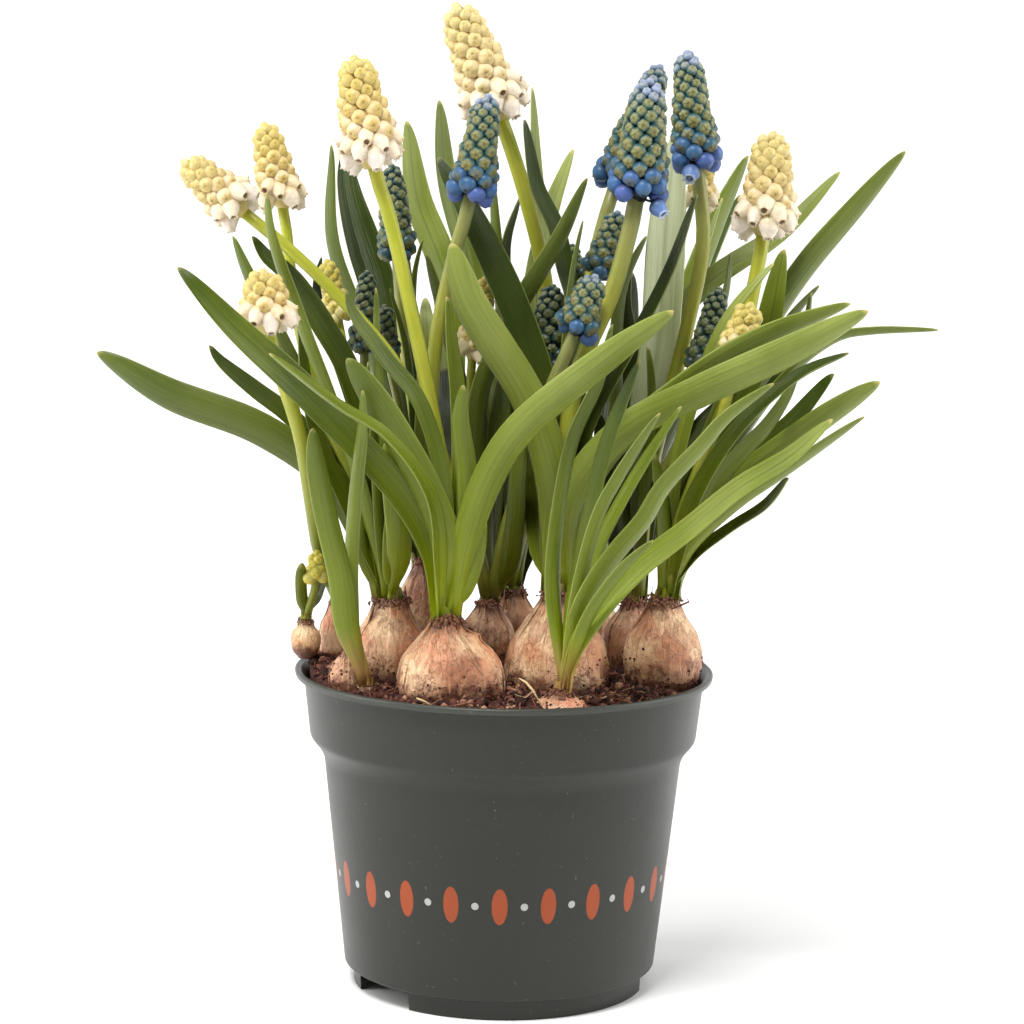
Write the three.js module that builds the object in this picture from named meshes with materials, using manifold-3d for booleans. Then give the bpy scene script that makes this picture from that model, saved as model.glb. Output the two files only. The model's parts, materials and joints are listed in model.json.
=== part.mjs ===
// Grape hyacinths growing from surface bulbs in a round nursery pot.
// Millimetres, +Z up, front towards -Y. The origin is on the pot's axis, where the pot stands.
import * as THREE from 'three';
import { mergeVertices } from 'three/addons/utils/BufferGeometryUtils.js';
import loadManifold from 'manifold-3d';

const wasm = await loadManifold();
wasm.setup();
const { Manifold, Mesh: SolidMesh } = wasm;

const TURN = 2 * Math.PI;
const GAP = 0.3; // between neighbouring pieces
const SEAM_TOLERANCE = 0.15; // how far a joined surface may move where its seams are made plainer

// ---------------------------------------------------------------- driving sizes

// The plants' courses are drawn in the front elevation: across and up, on the plane through the pot's
// axis, as a viewer at EYE sees them. Each point then slides along its line of sight to its depth, which
// is counted from the axis towards the back.
const EYE = new THREE.Vector3(1.5, -888, 263);

const POT = {
  sides: 28,
  // outside, from the foot up: radius, height
  outside: [[42, 0], [42.3, 5.4], [44.8, 6.2], [51.3, 66.5], [52.8, 69.4], [55.4, 72.4], [57.3, 89.3],
    [59.7, 89.9], [60, 91.4], [59.3, 92]],
  // inside, from the rim down
  inside: [[58.2, 91.6], [56.4, 89], [54.2, 73.4], [50, 67.6], [43.8, 9.4]],
  floorTop: 8.4,
  floorUnderside: 7,
  footInside: 40,
  floorCorner: 0.8, // the chamfer between the floor and the wall
  notch: { azimuths: [-53, 91, 199], width: 24, height: 5, depth: 10 },
  drains: { count: 5, ring: 28, radius: 4.5, sides: 10, depth: 6 },
};

const SOIL = {
  sides: 16,
  top: 90,
  lump: 1,
  heap: 3.4, // how far the left side rises, where a bulb sits on the rim
  rings: [0.36, 0.7],
  wallGap: 0.5,
  shoulder: 1.5, // how far the surface falls towards the wall
  wallTop: 4, // the wall's own corners end this far below the surface
};

const BULB_SIDES = 8;
const SHEATH_HEIGHT = 7;
const ROOT_SPREAD = 0.72; // of the neck's radius
const ROOT_HEIGHT = 1.5; // over the neck
const LEAN_SOFTENING = 12;

// Each bulb: [x, y, radius, height of the widest part, height of the neck, height of the base, neck's radius]
const BULBS = {
  c: {
    name: 'bulb_front_left',
    lobes: [[-16.2, -33, 13.4, 93.5, 112, 83, 4.2], [-8.4, -35, 8.8, 94, 108, 83, 1.6]],
  },
  d: { name: 'bulb_middle', lobes: [[14.9, -15.6, 15, 93, 116.5, 83, 4.8]] },
  e: { name: 'bulb_right', lobes: [[45, -11.5, 11.2, 97.5, 115, 84, 4.4]] },
  b: { name: 'bulb_left', lobes: [[-32.2, -13.4, 10.2, 98.5, 113.5, 84, 4.8]] },
  p: { name: 'bulb_pink_left', lobes: [[-43, -27.6, 5.6, 93.5, 101.5, 85, 1.4]] },
  h: { name: 'bulb_front_far_left', lobes: [[-37.4, -33.6, 4.2, 85, 92.4, 77, 2.4]] },
  g: { name: 'bulb_front_small', lobes: [[15.6, -45.4, 7.4, 89.5, 94.6, 79, 3.4]] },
  a: { name: 'bulb_rim_left', lobes: [[-56.8, -4, 4.4, 100, 105.4, 94.4, 2.3]] },
  q: { name: 'bulb_left_pale', lobes: [[-47.6, 4.6, 5.8, 99.5, 110, 86, 2.8]] },
  j: { name: 'bulb_brown_left', lobes: [[-23.5, 12, 8.2, 105, 121, 86, 3]] },
  i: { name: 'bulb_brown_middle', lobes: [[-5, 4, 8, 98.5, 110.5, 86, 3]] },
  f: { name: 'bulb_papery_right', lobes: [[37.3, 11, 8.4, 99, 110, 85, 3.4]] },
  k: { name: 'bulb_back_left', lobes: [[-25, 36, 9, 97, 109, 84, 3.4]] },
  m: { name: 'bulb_back_middle', lobes: [[2, 27, 8.8, 97, 110, 84, 3.4]] },
  l: { name: 'bulb_back_right', lobes: [[25, 37, 9, 97, 109, 84, 3.4]] },
};

// Leaves: [bulb, width, depth of the tip, turn of the blade in degrees, points from the tip to near the neck]
const LEAVES = [
  ['h', 7.4, -54, 14, [-55.5, 160], [-54.5, 152], [-51.5, 136], [-47, 117], [-45, 103]],
  ['h', 5.4, -47, -40, [-41.5, 171], [-42, 158.5], [-43.5, 143], [-44.5, 126], [-44.5, 111], [-43.5, 100]],
  ['c', 7.5, -66, 66, [-68, 181], [-48, 166], [-35, 158], [-22, 140]],
  ['c', 9.5, -50, -14, [-46, 180], [-31, 157], [-23, 143], [-17, 126]],
  ['c', 8.8, -58, 18, [-94, 205], [-79, 189], [-59, 171], [-30, 141], [-22, 126]],
  ['c', 9, -74, 12, [46, 195], [26, 180], [3, 160], [-5, 147], [-11, 130]],
  ['c', 6.5, -36, 42, [-18, 198], [-17, 186], [-15, 169], [-14, 134]],
  ['c', 6.6, -43, -20, [-13, 173], [-14, 163], [-12, 146], [-13, 123]],
  ['c', 4, -38, 30, [-6, 134], [-8, 122], [-11, 114]],
  ['c', 5.6, -52, 30, [-46.5, 199.5], [-45.5, 195], [-43.5, 191], [-40.5, 187], [-34.5, 179], [-26.5, 169.5],
    [-20, 152], [-17.5, 133]],
  ['g', 6, -48, 45, [29, 191], [26, 175], [19, 158], [15, 135], [14, 115]],
  ['g', 5.8, -66, -38, [37, 181], [28, 155], [24, 135], [20, 112]],
  ['g', 6, -76, 52, [43, 166], [32, 147], [27, 137], [22, 118]],
  ['g', 6, -70, -54, [49, 168], [34, 142], [25, 122]],
  ['g', 7, -80, 45, [75, 175], [62.5, 165], [55, 156], [44.5, 144], [39.5, 135], [31.5, 125], [25, 115],
    [20.5, 104.5]],
  ['g', 7.4, -88, -30, [92, 165], [80.5, 154], [66, 144.5], [52, 132.5], [38.5, 121.5], [29.5, 112],
    [23.5, 103], [20, 95]],
  ['g', 4.2, -76, 40, [42, 129.5], [34.5, 122], [28, 113.5], [24, 106.5]],
  ['d', 11, -30, -10, [-17, 213], [-12, 197], [6, 168], [14, 141]],
  ['d', 9.4, -74, 14, [101, 196], [77, 183], [54, 172], [32, 160], [18, 141]],
  ['d', 8.4, -52, 32, [96, 198], [71, 187], [51, 174], [26, 150]],
  ['d', 9.4, 4, -16, [-21, 237], [-12, 223], [3, 192], [12, 160]],
  ['d', 7.4, 8, 40, [3, 248], [4, 241.5], [6.5, 229], [12, 217.5], [14.5, 207], [18, 195], [18, 165]],
  ['d', 6.4, -4, -52, [52, 228], [45, 206], [35, 185], [22, 158]],
  ['d', 4, -6, 62, [20, 220], [18, 208], [16, 186], [15, 150]],
  ['d', 6, -4, 20, [3, 166], [6, 149], [7.8, 134.7], [10, 123]],
  ['e', 7, -42, -36, [92, 178], [80, 163], [69, 154], [58, 141], [50, 126]],
  ['e', 7.8, -50, 20, [105, 176], [88, 164], [65, 146], [54, 132]],
  ['e', 6.4, -62, 64, [101, 166], [80, 150], [66, 140], [53, 127]],
  ['e', 6, -34, -62, [80, 148], [74, 140], [64, 133], [53, 124]],
  ['e', 6, -24, 48, [42, 154], [45, 141], [46, 126]],
  ['e', 8.2, -6, 30, [110, 241], [98, 226], [82, 206], [68, 182], [55, 147]],
  ['e', 9.4, -20, -28, [77, 213], [73, 189], [64, 164], [52, 138]],
  ['e', 6.6, -10, 58, [87, 203], [78, 191], [66, 170], [52, 141]],
  ['e', 6, -30, -62, [85, 201], [83, 188], [71, 168], [54, 140]],
  ['e', 6, -38, 62, [121, 191], [102, 190], [94, 188.5], [86, 183.5], [77, 174.5], [68.5, 162.5], [58, 145]],
  ['e', 6.6, -54, -54, [96, 184], [82, 177], [66, 162], [53, 140]],
  ['e', 6.6, -46, 46, [82, 178.5], [80, 173], [77.5, 168], [73.5, 162], [68, 156], [61, 147]],
  ['e', 6.4, -26, -52, [74, 209], [62, 193], [54, 173], [48, 147]],
  ['e', 9.8, -2, 10, [75, 180], [66, 170], [55, 159], [48, 138]],
  ['f', 11.6, 18, 14, [45, 244], [43, 215], [42, 188], [38, 155]],
  ['f', 7.6, 36, -34, [92, 235], [77, 218], [55, 202], [41, 184], [36, 155]],
  ['f', 6.4, 13, 52, [38, 216], [32, 201], [31, 175], [33, 147]],
  ['f', 6.6, 16, -42, [34, 209], [33, 198], [35, 184], [35, 155]],
  ['f', 6, 28, 62, [62, 212], [61, 200], [55, 179], [42, 147]],
  ['f', 6, 2, -58, [39, 185], [40, 170], [38, 140]],
  ['l', 8, 70, 36, [66, 239], [58, 220], [51, 201], [37, 165]],
  ['l', 4, 50, -60, [59, 227], [55, 213], [50, 195], [36, 160]],
  ['l', 7, 84, -48, [64, 228], [53, 201], [40, 170], [31, 142]],
  ['m', 6.4, 30, 52, [5, 257], [6, 237], [8, 212], [8, 160]],
  ['m', 7.6, 36, -34, [17, 240], [11, 221], [7, 198], [5, 155]],
  ['m', 6.4, 18, 52, [2, 226], [-2, 213], [-1, 189], [1, 150]],
  ['m', 6, 8, -48, [-6, 234], [-5, 218], [-3, 195], [0, 155]],
  ['m', 8.4, 54, 32, [-21, 253], [-19, 231], [-11, 203], [-2, 160]],
  ['i', 7, -8, 36, [21, 232], [14, 215], [1, 192], [-8, 169], [-6, 138]],
  ['i', 6, -12, -20, [4, 160], [2.6, 146], [2.2, 134.6], [0.5, 121]],
  ['k', 10, 80, 30, [-30, 247], [-27, 225], [-19, 203], [-18, 160]],
  ['k', 6.6, 32, -50, [-51, 240], [-51, 213], [-42, 188], [-29, 150]],
  ['k', 9.4, 62, 24, [-47, 237], [-45, 225], [-37, 200], [-27, 155]],
  ['k', 4.6, 48, 30, [-48, 238.5], [-48.5, 231], [-47, 220], [-44.5, 210], [-41.5, 201], [-33, 170]],
  ['k', 4, 6, 60, [-34, 200], [-29, 184], [-26, 155]],
  ['k', 4, 22, -56, [-30, 215], [-29, 204], [-26, 160]],
  ['k', 4, 12, 58, [-25, 214], [-27, 203], [-26, 160]],
  ['b', 5.4, -50, -44, [-69, 226], [-68, 215], [-59, 189], [-52, 171], [-43, 146], [-37, 124]],
  ['b', 8, -22, 30, [-73, 214], [-69.5, 208.5], [-63.5, 203.5], [-54, 190], [-45.5, 175], [-38.5, 147]],
  ['b', 5, 16, 40, [-53.5, 208.5], [-55, 202], [-54.5, 195], [-52, 188], [-41, 155]],
  ['b', 6.4, 10, -34, [-78.5, 214], [-76, 207], [-71.5, 197], [-64.5, 183], [-54.5, 163], [-43, 138]],
  ['b', 6, -22, 48, [-60, 191], [-56, 162], [-43, 132]],
  ['b', 5, -24, -58, [-38, 200], [-38, 184], [-36, 157], [-35, 131]],
  ['b', 5, -32, 62, [-40, 179], [-38, 163], [-36, 135]],
  ['b', 7, -4, 36, [-85, 183], [-82.5, 179], [-72.5, 170.5], [-63, 163.5], [-54.5, 155], [-44, 138]],
  ['b', 9.6, -8, -12, [-116.8, 180.5], [-97, 169], [-70, 159], [-49, 144], [-40, 126]],
  ['b', 5, -22, 46, [-31, 143], [-33, 130]],
  ['b', 5, -18, 40, [-40, 155], [-41, 138], [-40.5, 124.5], [-37, 116]],
  ['b', 7, -30, 14, [-34, 157], [-31.5, 140], [-30.5, 122.5]],
  ['j', 5, 4, 40, [-27, 146], [-25, 132]],
  ['a', 3.4, -13, 20, [-58.4, 121], [-58.2, 112]],
  ['a', 3.6, 2, -30, [-50.6, 124], [-53, 114]],
  // behind the rest
  ['k', 8, 88, 20, [-38, 196], [-32, 180], [-27, 150]],
  ['m', 7, 62, -36, [-8, 182], [-3, 165], [1, 140]],
  ['l', 8, 88, 18, [34, 206], [32, 185], [28, 150]],
  ['l', 8, 64, -24, [46, 188], [38, 170], [28, 142]],
  ['f', 7, 58, 34, [60, 186], [48, 172], [38, 144]],
  ['f', 8, 34, 22, [42, 172], [40, 146], [38, 124]],
  ['f', 7, 28, -30, [26, 166], [30, 141], [34, 122]],
  ['f', 7, 44, 24, [47, 176], [44.5, 158], [41.5, 135]],
  ['m', 5.4, 22, -34, [-24, 210], [-22, 202.5], [-18.5, 190.5], [-13, 169], [-6, 146]],
  ['m', 8, 48, -24, [-9, 176], [-5.5, 160], [-2, 140]],
  ['m', 8, 44, 28, [7, 170], [6.5, 145], [4.5, 124]],
  ['i', 6.4, 12, 30, [-9.5, 160], [-8.5, 132], [-7, 119]],
  ['i', 7, 20, -24, [-1, 178], [-3, 150], [-5, 125]],
  ['j', 6, 26, 10, [-24, 197.5], [-23.5, 180.5], [-24, 160], [-24.5, 137]],
  ['j', 8, 40, -20, [-18, 178], [-19, 152], [-21, 131]],
  ['j', 7, 30, 34, [-32, 157], [-30.5, 140], [-28, 127]],
];

// Flower heads and their stalks: [bulb, colour, depth of the head, greatest width, its tip, its base, then
// the stalk's points down to near the neck]
const FLOWERS = [
  ['c', 'white', -22, 14.6, [-93, 235], [-74.5, 220], [-63, 211], [-46, 195], [-31, 177], [-19, 150]],
  ['b', 'white', -5, 13.5, [-70, 246], [-64, 221], [-63, 213], [-61, 196], [-54, 168], [-39, 134]],
  ['c', 'white', -25, 17.5, [-45, 265], [-39, 233], [-35, 222], [-28, 194], [-20, 157], [-16, 134]],
  ['m', 'white', 10, 18.3, [-17, 280], [-3, 247], [4, 226], [10, 200], [9, 160]],
  ['e', 'white', -12, 17.5, [73, 246], [71, 216], [68, 199], [64, 176], [56, 154], [49, 130]],
  ['q', 'white', -44, 17.5, [-70, 205], [-68.5, 186], [-64, 173], [-59, 157.5], [-55.5, 137.5], [-53, 124]],
  ['b', 'white', 4, 8.4, [-52, 208], [-48, 189], [-45, 174], [-41, 154], [-36, 130]],
  ['m', 'white', 0, 10.8, [-7, 204], [-11, 180], [-10, 160], [-4, 137]],
  ['e', 'white', -32, 12.7, [68, 198], [64, 181], [61, 167], [53, 147], [48, 130]],
  ['l', 'white', 25, 9.6, [54, 239], [53, 223], [53, 210], [46, 184], [33, 150]],
  ['a', 'white', -3, 7.4, [-54, 125], [-54.4, 115], [-55, 112]],
  ['i', 'blue', -10, 13, [-7, 255], [-12, 224], [-17, 206], [-21, 184], [-21, 160], [-10, 132]],
  ['d', 'blue', -14, 15.8, [38, 260], [35, 225], [29, 201], [19, 175], [16, 140]],
  ['f', 'blue', 5, 13.3, [48, 268], [52, 234], [54, 215], [50, 190], [40, 145]],
  ['d', 'blue', 6, 12.7, [41, 264], [28, 228], [24, 212], [21, 192], [18, 150]],
  ['d', 'blue', 2, 9.8, [30, 223], [24, 204], [21, 186], [18, 150]],
  ['i', 'blue', -20, 12.4, [24, 205], [18, 187], [11, 170], [6, 152], [0, 132]],
  ['d', 'blue', -2, 12.7, [12, 202], [10, 172], [12, 155], [14, 136]],
  ['k', 'blue', 5, 8.4, [-40.5, 205], [-41.5, 181], [-39, 163], [-29, 140]],
  ['k', 'blue', 14, 7, [-35.5, 195.5], [-34.5, 180], [-31, 166], [-26, 140]],
  ['k', 'blue', 20, 10.4, [-34, 235], [-32, 207], [-30, 186], [-25, 150]],
  ['f', 'blue', 5, 10.2, [59, 202], [54, 177], [50, 161], [39, 136]],
  ['m', 'blue', 22, 6, [17, 213.5], [19.5, 203], [17, 189], [9, 152]],
  ['d', 'blue', -6, 9.4, [19, 170], [20, 151], [18, 132]],
];

const LEAF = {
  thickness: 1.2, // at the keel, none at the edges
  channel: 0.15, // how far the edges stand above the keel, of the width
  twist: 24, // degrees, from the middle to the tip
  stations: [0, 0.06, 0.2, 0.42, 0.7, 1], // from tip to root
  shortStations: [0, 0.08, 0.3, 0.62, 1],
  shortLength: 105,
  taper: 0.3, // the share of the length that narrows to the tip
  tipWidth: 0.14,
  rootWidth: 0.72,
};

const STALK = {
  sides: 5,
  shareOfHead: { white: 0.115, blue: 0.15 }, // its radius under the head, of the head's width
  leastRadius: 1.1,
  rootSwell: 1.1,
  spacing: 28,
};

const HEAD = {
  beadHeight: 4.8,
  beadWidth: 6.1,
  fewestSides: 5,
  mostSides: 8,
  valley: 0.74, // radius between the beads, of the radius over them
  widest: 0.22, // where along the head it is widest
  base: 0.78, // radius at the base, of the greatest
  top: 0.56, // radius that the cone runs out to, at the tip
  round: 0.82, // where the tip starts to round off
  tip: 0.3,
  nod: 0.45, // how far the lowest beads hang, of a row's height
  rise: 0.2, // how far the top beads point up
  topRow: 0.8, // of a row's height, for the tip
  zigzag: 1 / 6, // how far the corners between two rows stand above and below their ring
  recess: 0.6, // of a row's height, for the stalk's top
  openRows: 1, // rows of round, open flowers at the base
  openRadius: 5.5, // of a head that has them
  openShoulder: 0.45, // an open flower's shoulder, from its edge to its top
  openSwell: 0.12, // how far the shoulder swells, of the head's radius
};

// How the strands are kept clear of each other
const CLEARING = {
  gap: 0.7,
  step: 3,
  rounds: 320,
  firmRounds: 90, // the last rounds, which smooth less
  smoothing: 0.35,
  firmSmoothing: 0.1,
  basalHeight: 14, // strands of one plant may touch below this height over its neck
  depthLimit: 88,
  cell: 6, // of the grid that finds neighbours
  largestSample: 5,
};

// Round samples stand for a strand's body: their places across it, of its half width, and their margins
const SAMPLES = {
  round: [-0.8, -0.4, 0, 0.4, 0.8],
  roundRadius: 0.22,
  roundMargin: 0.4,
  blade: [-2 / 3, 0, 2 / 3],
  bladeMargin: 0.5,
  bladeDepth: 0.9,
  stalk: [0],
  stalkMargin: 0.1,
  bulbRadius: 0.2,
  bulbMargin: 1,
  bulbStep: 2,
};

// ---------------------------------------------------------------- elevation and depth

function atDepth(p) {
  const reach = (p.y - EYE.y) / -EYE.y;
  return new THREE.Vector3(EYE.x + (p.x - EYE.x) * reach, p.y, EYE.z + (p.z - EYE.z) * reach);
}

function inElevation(p) {
  const reach = -EYE.y / (p.y - EYE.y);
  return new THREE.Vector3(EYE.x + (p.x - EYE.x) * reach, p.y, EYE.z + (p.z - EYE.z) * reach);
}

// ---------------------------------------------------------------- solids

function signedVolume(positions, index) {
  const [a, b, c] = [new THREE.Vector3(), new THREE.Vector3(), new THREE.Vector3()];
  let sum = 0;
  for (let i = 0; i < index.length; i += 3) {
    a.fromArray(positions, 3 * index[i]);
    b.fromArray(positions, 3 * index[i + 1]);
    c.fromArray(positions, 3 * index[i + 2]);
    sum += a.dot(b.cross(c)) / 6;
  }
  return sum;
}

function toSolid(geometry) {
  const bare = geometry.clone();
  bare.deleteAttribute('normal');
  bare.deleteAttribute('uv');
  const merged = mergeVertices(bare, 1e-4);
  const positions = merged.attributes.position.array;
  const faces = [];
  const all = merged.index.array;
  for (let i = 0; i < all.length; i += 3) {
    const [a, b, c] = [all[i], all[i + 1], all[i + 2]];
    if (a !== b && b !== c && c !== a) faces.push(a, b, c);
  }
  if (signedVolume(positions, faces) < 0) faces.reverse();
  return new Manifold(new SolidMesh({
    numProp: 3,
    vertProperties: new Float32Array(positions),
    triVerts: new Uint32Array(faces),
  }));
}

function toGeometry(solid) {
  const mesh = solid.getMesh();
  const geometry = new THREE.BufferGeometry();
  geometry.setAttribute('position', new THREE.BufferAttribute(new Float32Array(mesh.vertProperties), 3));
  geometry.setIndex(new THREE.BufferAttribute(new Uint32Array(mesh.triVerts), 1));
  geometry.computeVertexNormals();
  return geometry;
}

function surface(vertices, faces) {
  const positions = vertices.flatMap((vertex) => vertex.toArray());
  const geometry = new THREE.BufferGeometry();
  geometry.setAttribute('position', new THREE.Float32BufferAttribute(positions, 3));
  geometry.setIndex(faces);
  return geometry;
}

// A closed surface through rings of points of equal count, with flat ends.
function loft(rings) {
  const count = rings[0].length;
  const vertices = rings.flat();
  const faces = [];
  for (let r = 0; r + 1 < rings.length; r += 1) {
    for (let k = 0; k < count; k += 1) {
      const a = r * count + k;
      const b = r * count + ((k + 1) % count);
      faces.push(a, b, b + count, a, b + count, a + count);
    }
  }
  const last = (rings.length - 1) * count;
  for (let k = 1; k + 1 < count; k += 1) {
    faces.push(0, k + 1, k, last, last + k, last + k + 1);
  }
  return surface(vertices, faces);
}

// Turned about a vertical line at x, y: points are [radius, height].
function turned(points, sides, x = 0, y = 0) {
  const outline = points.map(([radius, height]) => new THREE.Vector2(radius, height));
  return new THREE.LatheGeometry(outline, sides).rotateX(Math.PI / 2).translate(x, y, 0);
}

// ---------------------------------------------------------------- strands

// A strand is a leaf, or a stalk with its flower head. Its knots are points of the front elevation with a
// depth, from the tip to the root. Each knot has the blade's half width along "across", or a round
// section's radius.

function courseOf(points, root, tipDepth, depthShare, stations) {
  const corners = points.map(([x, z]) => new THREE.Vector3(x, 0, z));
  corners.push(new THREE.Vector3(root.x, 0, root.z));
  const curve = new THREE.CatmullRomCurve3(corners, false, 'centripetal');
  return stations.map((s) => {
    const p = curve.getPointAt(s);
    p.y = root.y + (tipDepth - root.y) * (1 - s) ** depthShare;
    return p;
  });
}

function tangentsOf(knots) {
  return knots.map((knot, i) => {
    const before = knots[Math.max(i - 1, 0)];
    const after = knots[Math.min(i + 1, knots.length - 1)];
    return before.clone().sub(after).normalize();
  });
}

// Across the strand, turned from the elevation plane towards the line of sight.
function acrossOf(tangent, turn) {
  const inPlane = new THREE.Vector3(tangent.z, 0, -tangent.x).normalize();
  const across = inPlane.multiplyScalar(Math.cos(turn)).add(new THREE.Vector3(0, Math.sin(turn), 0));
  return across.addScaledVector(tangent, -across.dot(tangent)).normalize();
}

function lengthOf(points) {
  return points.slice(1).reduce((sum, p, i) => sum + Math.hypot(p[0] - points[i][0], p[1] - points[i][1]), 0);
}

function leafWidth(share) {
  const tip = Math.sqrt(1 - (1 - Math.min(1, share / LEAF.taper)) ** 2);
  const root = THREE.MathUtils.lerp(1, LEAF.rootWidth, THREE.MathUtils.smoothstep(share, 0.7, 1));
  return Math.max(tip, LEAF.tipWidth) * root;
}

function leafStrand([plant, width, tipDepth, turn, ...points]) {
  const root = rootOf(plant, points[0][0], tipDepth);
  const ends = [...points, [root.x, root.z]];
  const stations = lengthOf(ends) < LEAF.shortLength ? LEAF.shortStations : LEAF.stations;
  const knots = courseOf(points, root, tipDepth, 1.25, stations);
  const twist = Math.sign(turn) * LEAF.twist;
  const turns = stations.map((s) => THREE.MathUtils.degToRad(turn + twist * (0.5 - s)));
  const halfWidths = stations.map((s) => 0.5 * width * leafWidth(s));
  return { kind: 'leaf', plant, knots, turns, halfWidths, rigidTip: false };
}

function flowerStrand([plant, colour, depth, width, tip, base, ...points]) {
  const root = rootOf(plant, tip[0], depth);
  const stalkPoints = [base, ...points];
  const count = Math.max(2, Math.round(lengthOf([...stalkPoints, [root.x, root.z]]) / STALK.spacing));
  const stations = Array.from({ length: count + 1 }, (_, i) => i / count);
  const stalk = courseOf(stalkPoints, root, depth, 1.1, stations);
  const knots = [new THREE.Vector3(tip[0], depth, tip[1]), ...stalk];
  const radius = Math.max(STALK.leastRadius, STALK.shareOfHead[colour] * width);
  const radii = stations.map((s) => radius * THREE.MathUtils.lerp(1, STALK.rootSwell, s));
  const turns = knots.map(() => 0);
  return { kind: 'flower', plant, colour, knots, turns, halfWidths: [width / 2, ...radii], rigidTip: true };
}

// ---------------------------------------------------------------- bulbs

function bulbOutline([, , radius, middle, neck, base, neckRadius], grow = 0) {
  const r = radius + grow;
  const throat = neckRadius + grow;
  const below = middle - base;
  const shoulder = neck - middle;
  return [
    [0, base - grow],
    [0.45 * r, base - grow],
    [0.86 * r, base + 0.4 * below],
    [r, middle],
    [0.9 * r, middle + 0.36 * shoulder],
    [Math.max(0.6 * r, throat), middle + 0.66 * shoulder],
    [throat, middle + 0.9 * shoulder],
    [0.8 * throat, neck + grow],
    [0, neck + grow],
  ];
}

function bulbSolid(plant, grow = 0) {
  const lobes = BULBS[plant].lobes.map((lobe) => {
    const [x, y] = lobe;
    return toSolid(turned(bulbOutline(lobe, grow), BULB_SIDES, x, y));
  });
  return Manifold.union(lobes);
}

// A strand starts on the side of the neck that it leans to.
function rootOf(plant, tipX, tipDepth) {
  const [x, y, , , neck, , neckRadius] = BULBS[plant].lobes[0];
  const lean = new THREE.Vector3(tipX - x, tipDepth - y, 0);
  lean.multiplyScalar(ROOT_SPREAD * neckRadius / (lean.length() + LEAN_SOFTENING));
  return inElevation(new THREE.Vector3(x, y, neck + GAP + ROOT_HEIGHT).add(lean));
}

// ---------------------------------------------------------------- clearing

// A sample's radius in the elevation and its half depth along the line of sight.
function sampleExtent(body, side, halfWidth, share) {
  const { roundRadius, roundMargin, bladeMargin, bladeDepth, stalkMargin } = SAMPLES;
  if (body === 'round') {
    return { radius: roundRadius * halfWidth + roundMargin, half: halfWidth * Math.sqrt(1 - share ** 2) };
  }
  if (body === 'blade') {
    const flat = Math.hypot(side.x, side.z) * halfWidth;
    return { radius: flat / 3 + bladeMargin, half: Math.abs(side.y) * halfWidth / 3 + bladeDepth };
  }
  return { radius: halfWidth + roundMargin, half: halfWidth + stalkMargin };
}

// Samples along and across a strand, each between two knots.
function samplesOf(strand) {
  const { knots, turns, halfWidths, kind } = strand;
  const tangents = tangentsOf(knots);
  const samples = [];
  for (let i = 0; i + 1 < knots.length; i += 1) {
    const head = kind === 'flower' && i === 0;
    const body = head ? 'round' : { leaf: 'blade', flower: 'stalk' }[kind];
    const across = acrossOf(tangents[i], turns[i]);
    const nextAcross = acrossOf(tangents[i + 1], turns[i + 1]);
    const steps = Math.max(1, Math.ceil(knots[i].distanceTo(knots[i + 1]) / CLEARING.step));
    for (let k = 0; k < steps; k += 1) {
      const blend = (k + 0.5) / steps;
      const side = across.clone().lerp(nextAcross, blend);
      const fullWidth = head ? halfWidths[0] : THREE.MathUtils.lerp(halfWidths[i], halfWidths[i + 1], blend);
      const centre = knots[i].clone().lerp(knots[i + 1], blend);
      for (const share of SAMPLES[body]) {
        const p = centre.clone().addScaledVector(side, share * fullWidth);
        const extent = sampleExtent(body, side, fullWidth, share);
        samples.push({ knot: i, blend, x: p.x, z: p.z, depth: p.y - centre.y, ...extent });
      }
    }
  }
  return samples;
}

// A bulb, with the sheath over its neck, as a strand that stays where it is.
function bulbStrand(plant) {
  const [x, y, , middle, neck, base, neckRadius] = BULBS[plant].lobes[0];
  const outline = bulbOutline(BULBS[plant].lobes[0]);
  const samples = [];
  for (let z = base + SAMPLES.bulbStep; z < neck + SHEATH_HEIGHT; z += SAMPLES.bulbStep) {
    const next = outline.findIndex(([, height]) => height > z);
    const [below, above] = [outline[next - 1], outline[next]];
    const r = next < 1 ? neckRadius : THREE.MathUtils.mapLinear(z, below[1], above[1], below[0], above[0]);
    for (const share of SAMPLES.round) {
      const p = inElevation(new THREE.Vector3(x + share * r, y, z));
      const radius = SAMPLES.bulbRadius * r + SAMPLES.bulbMargin;
      const half = r * Math.sqrt(1 - share ** 2);
      samples.push({ knot: 0, blend: 0, x: p.x, z: p.z, depth: 0, radius, half });
    }
  }
  return { kind: 'bulb', plant, knots: [new THREE.Vector3(x, y, middle)], samples, fixed: true };
}

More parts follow.
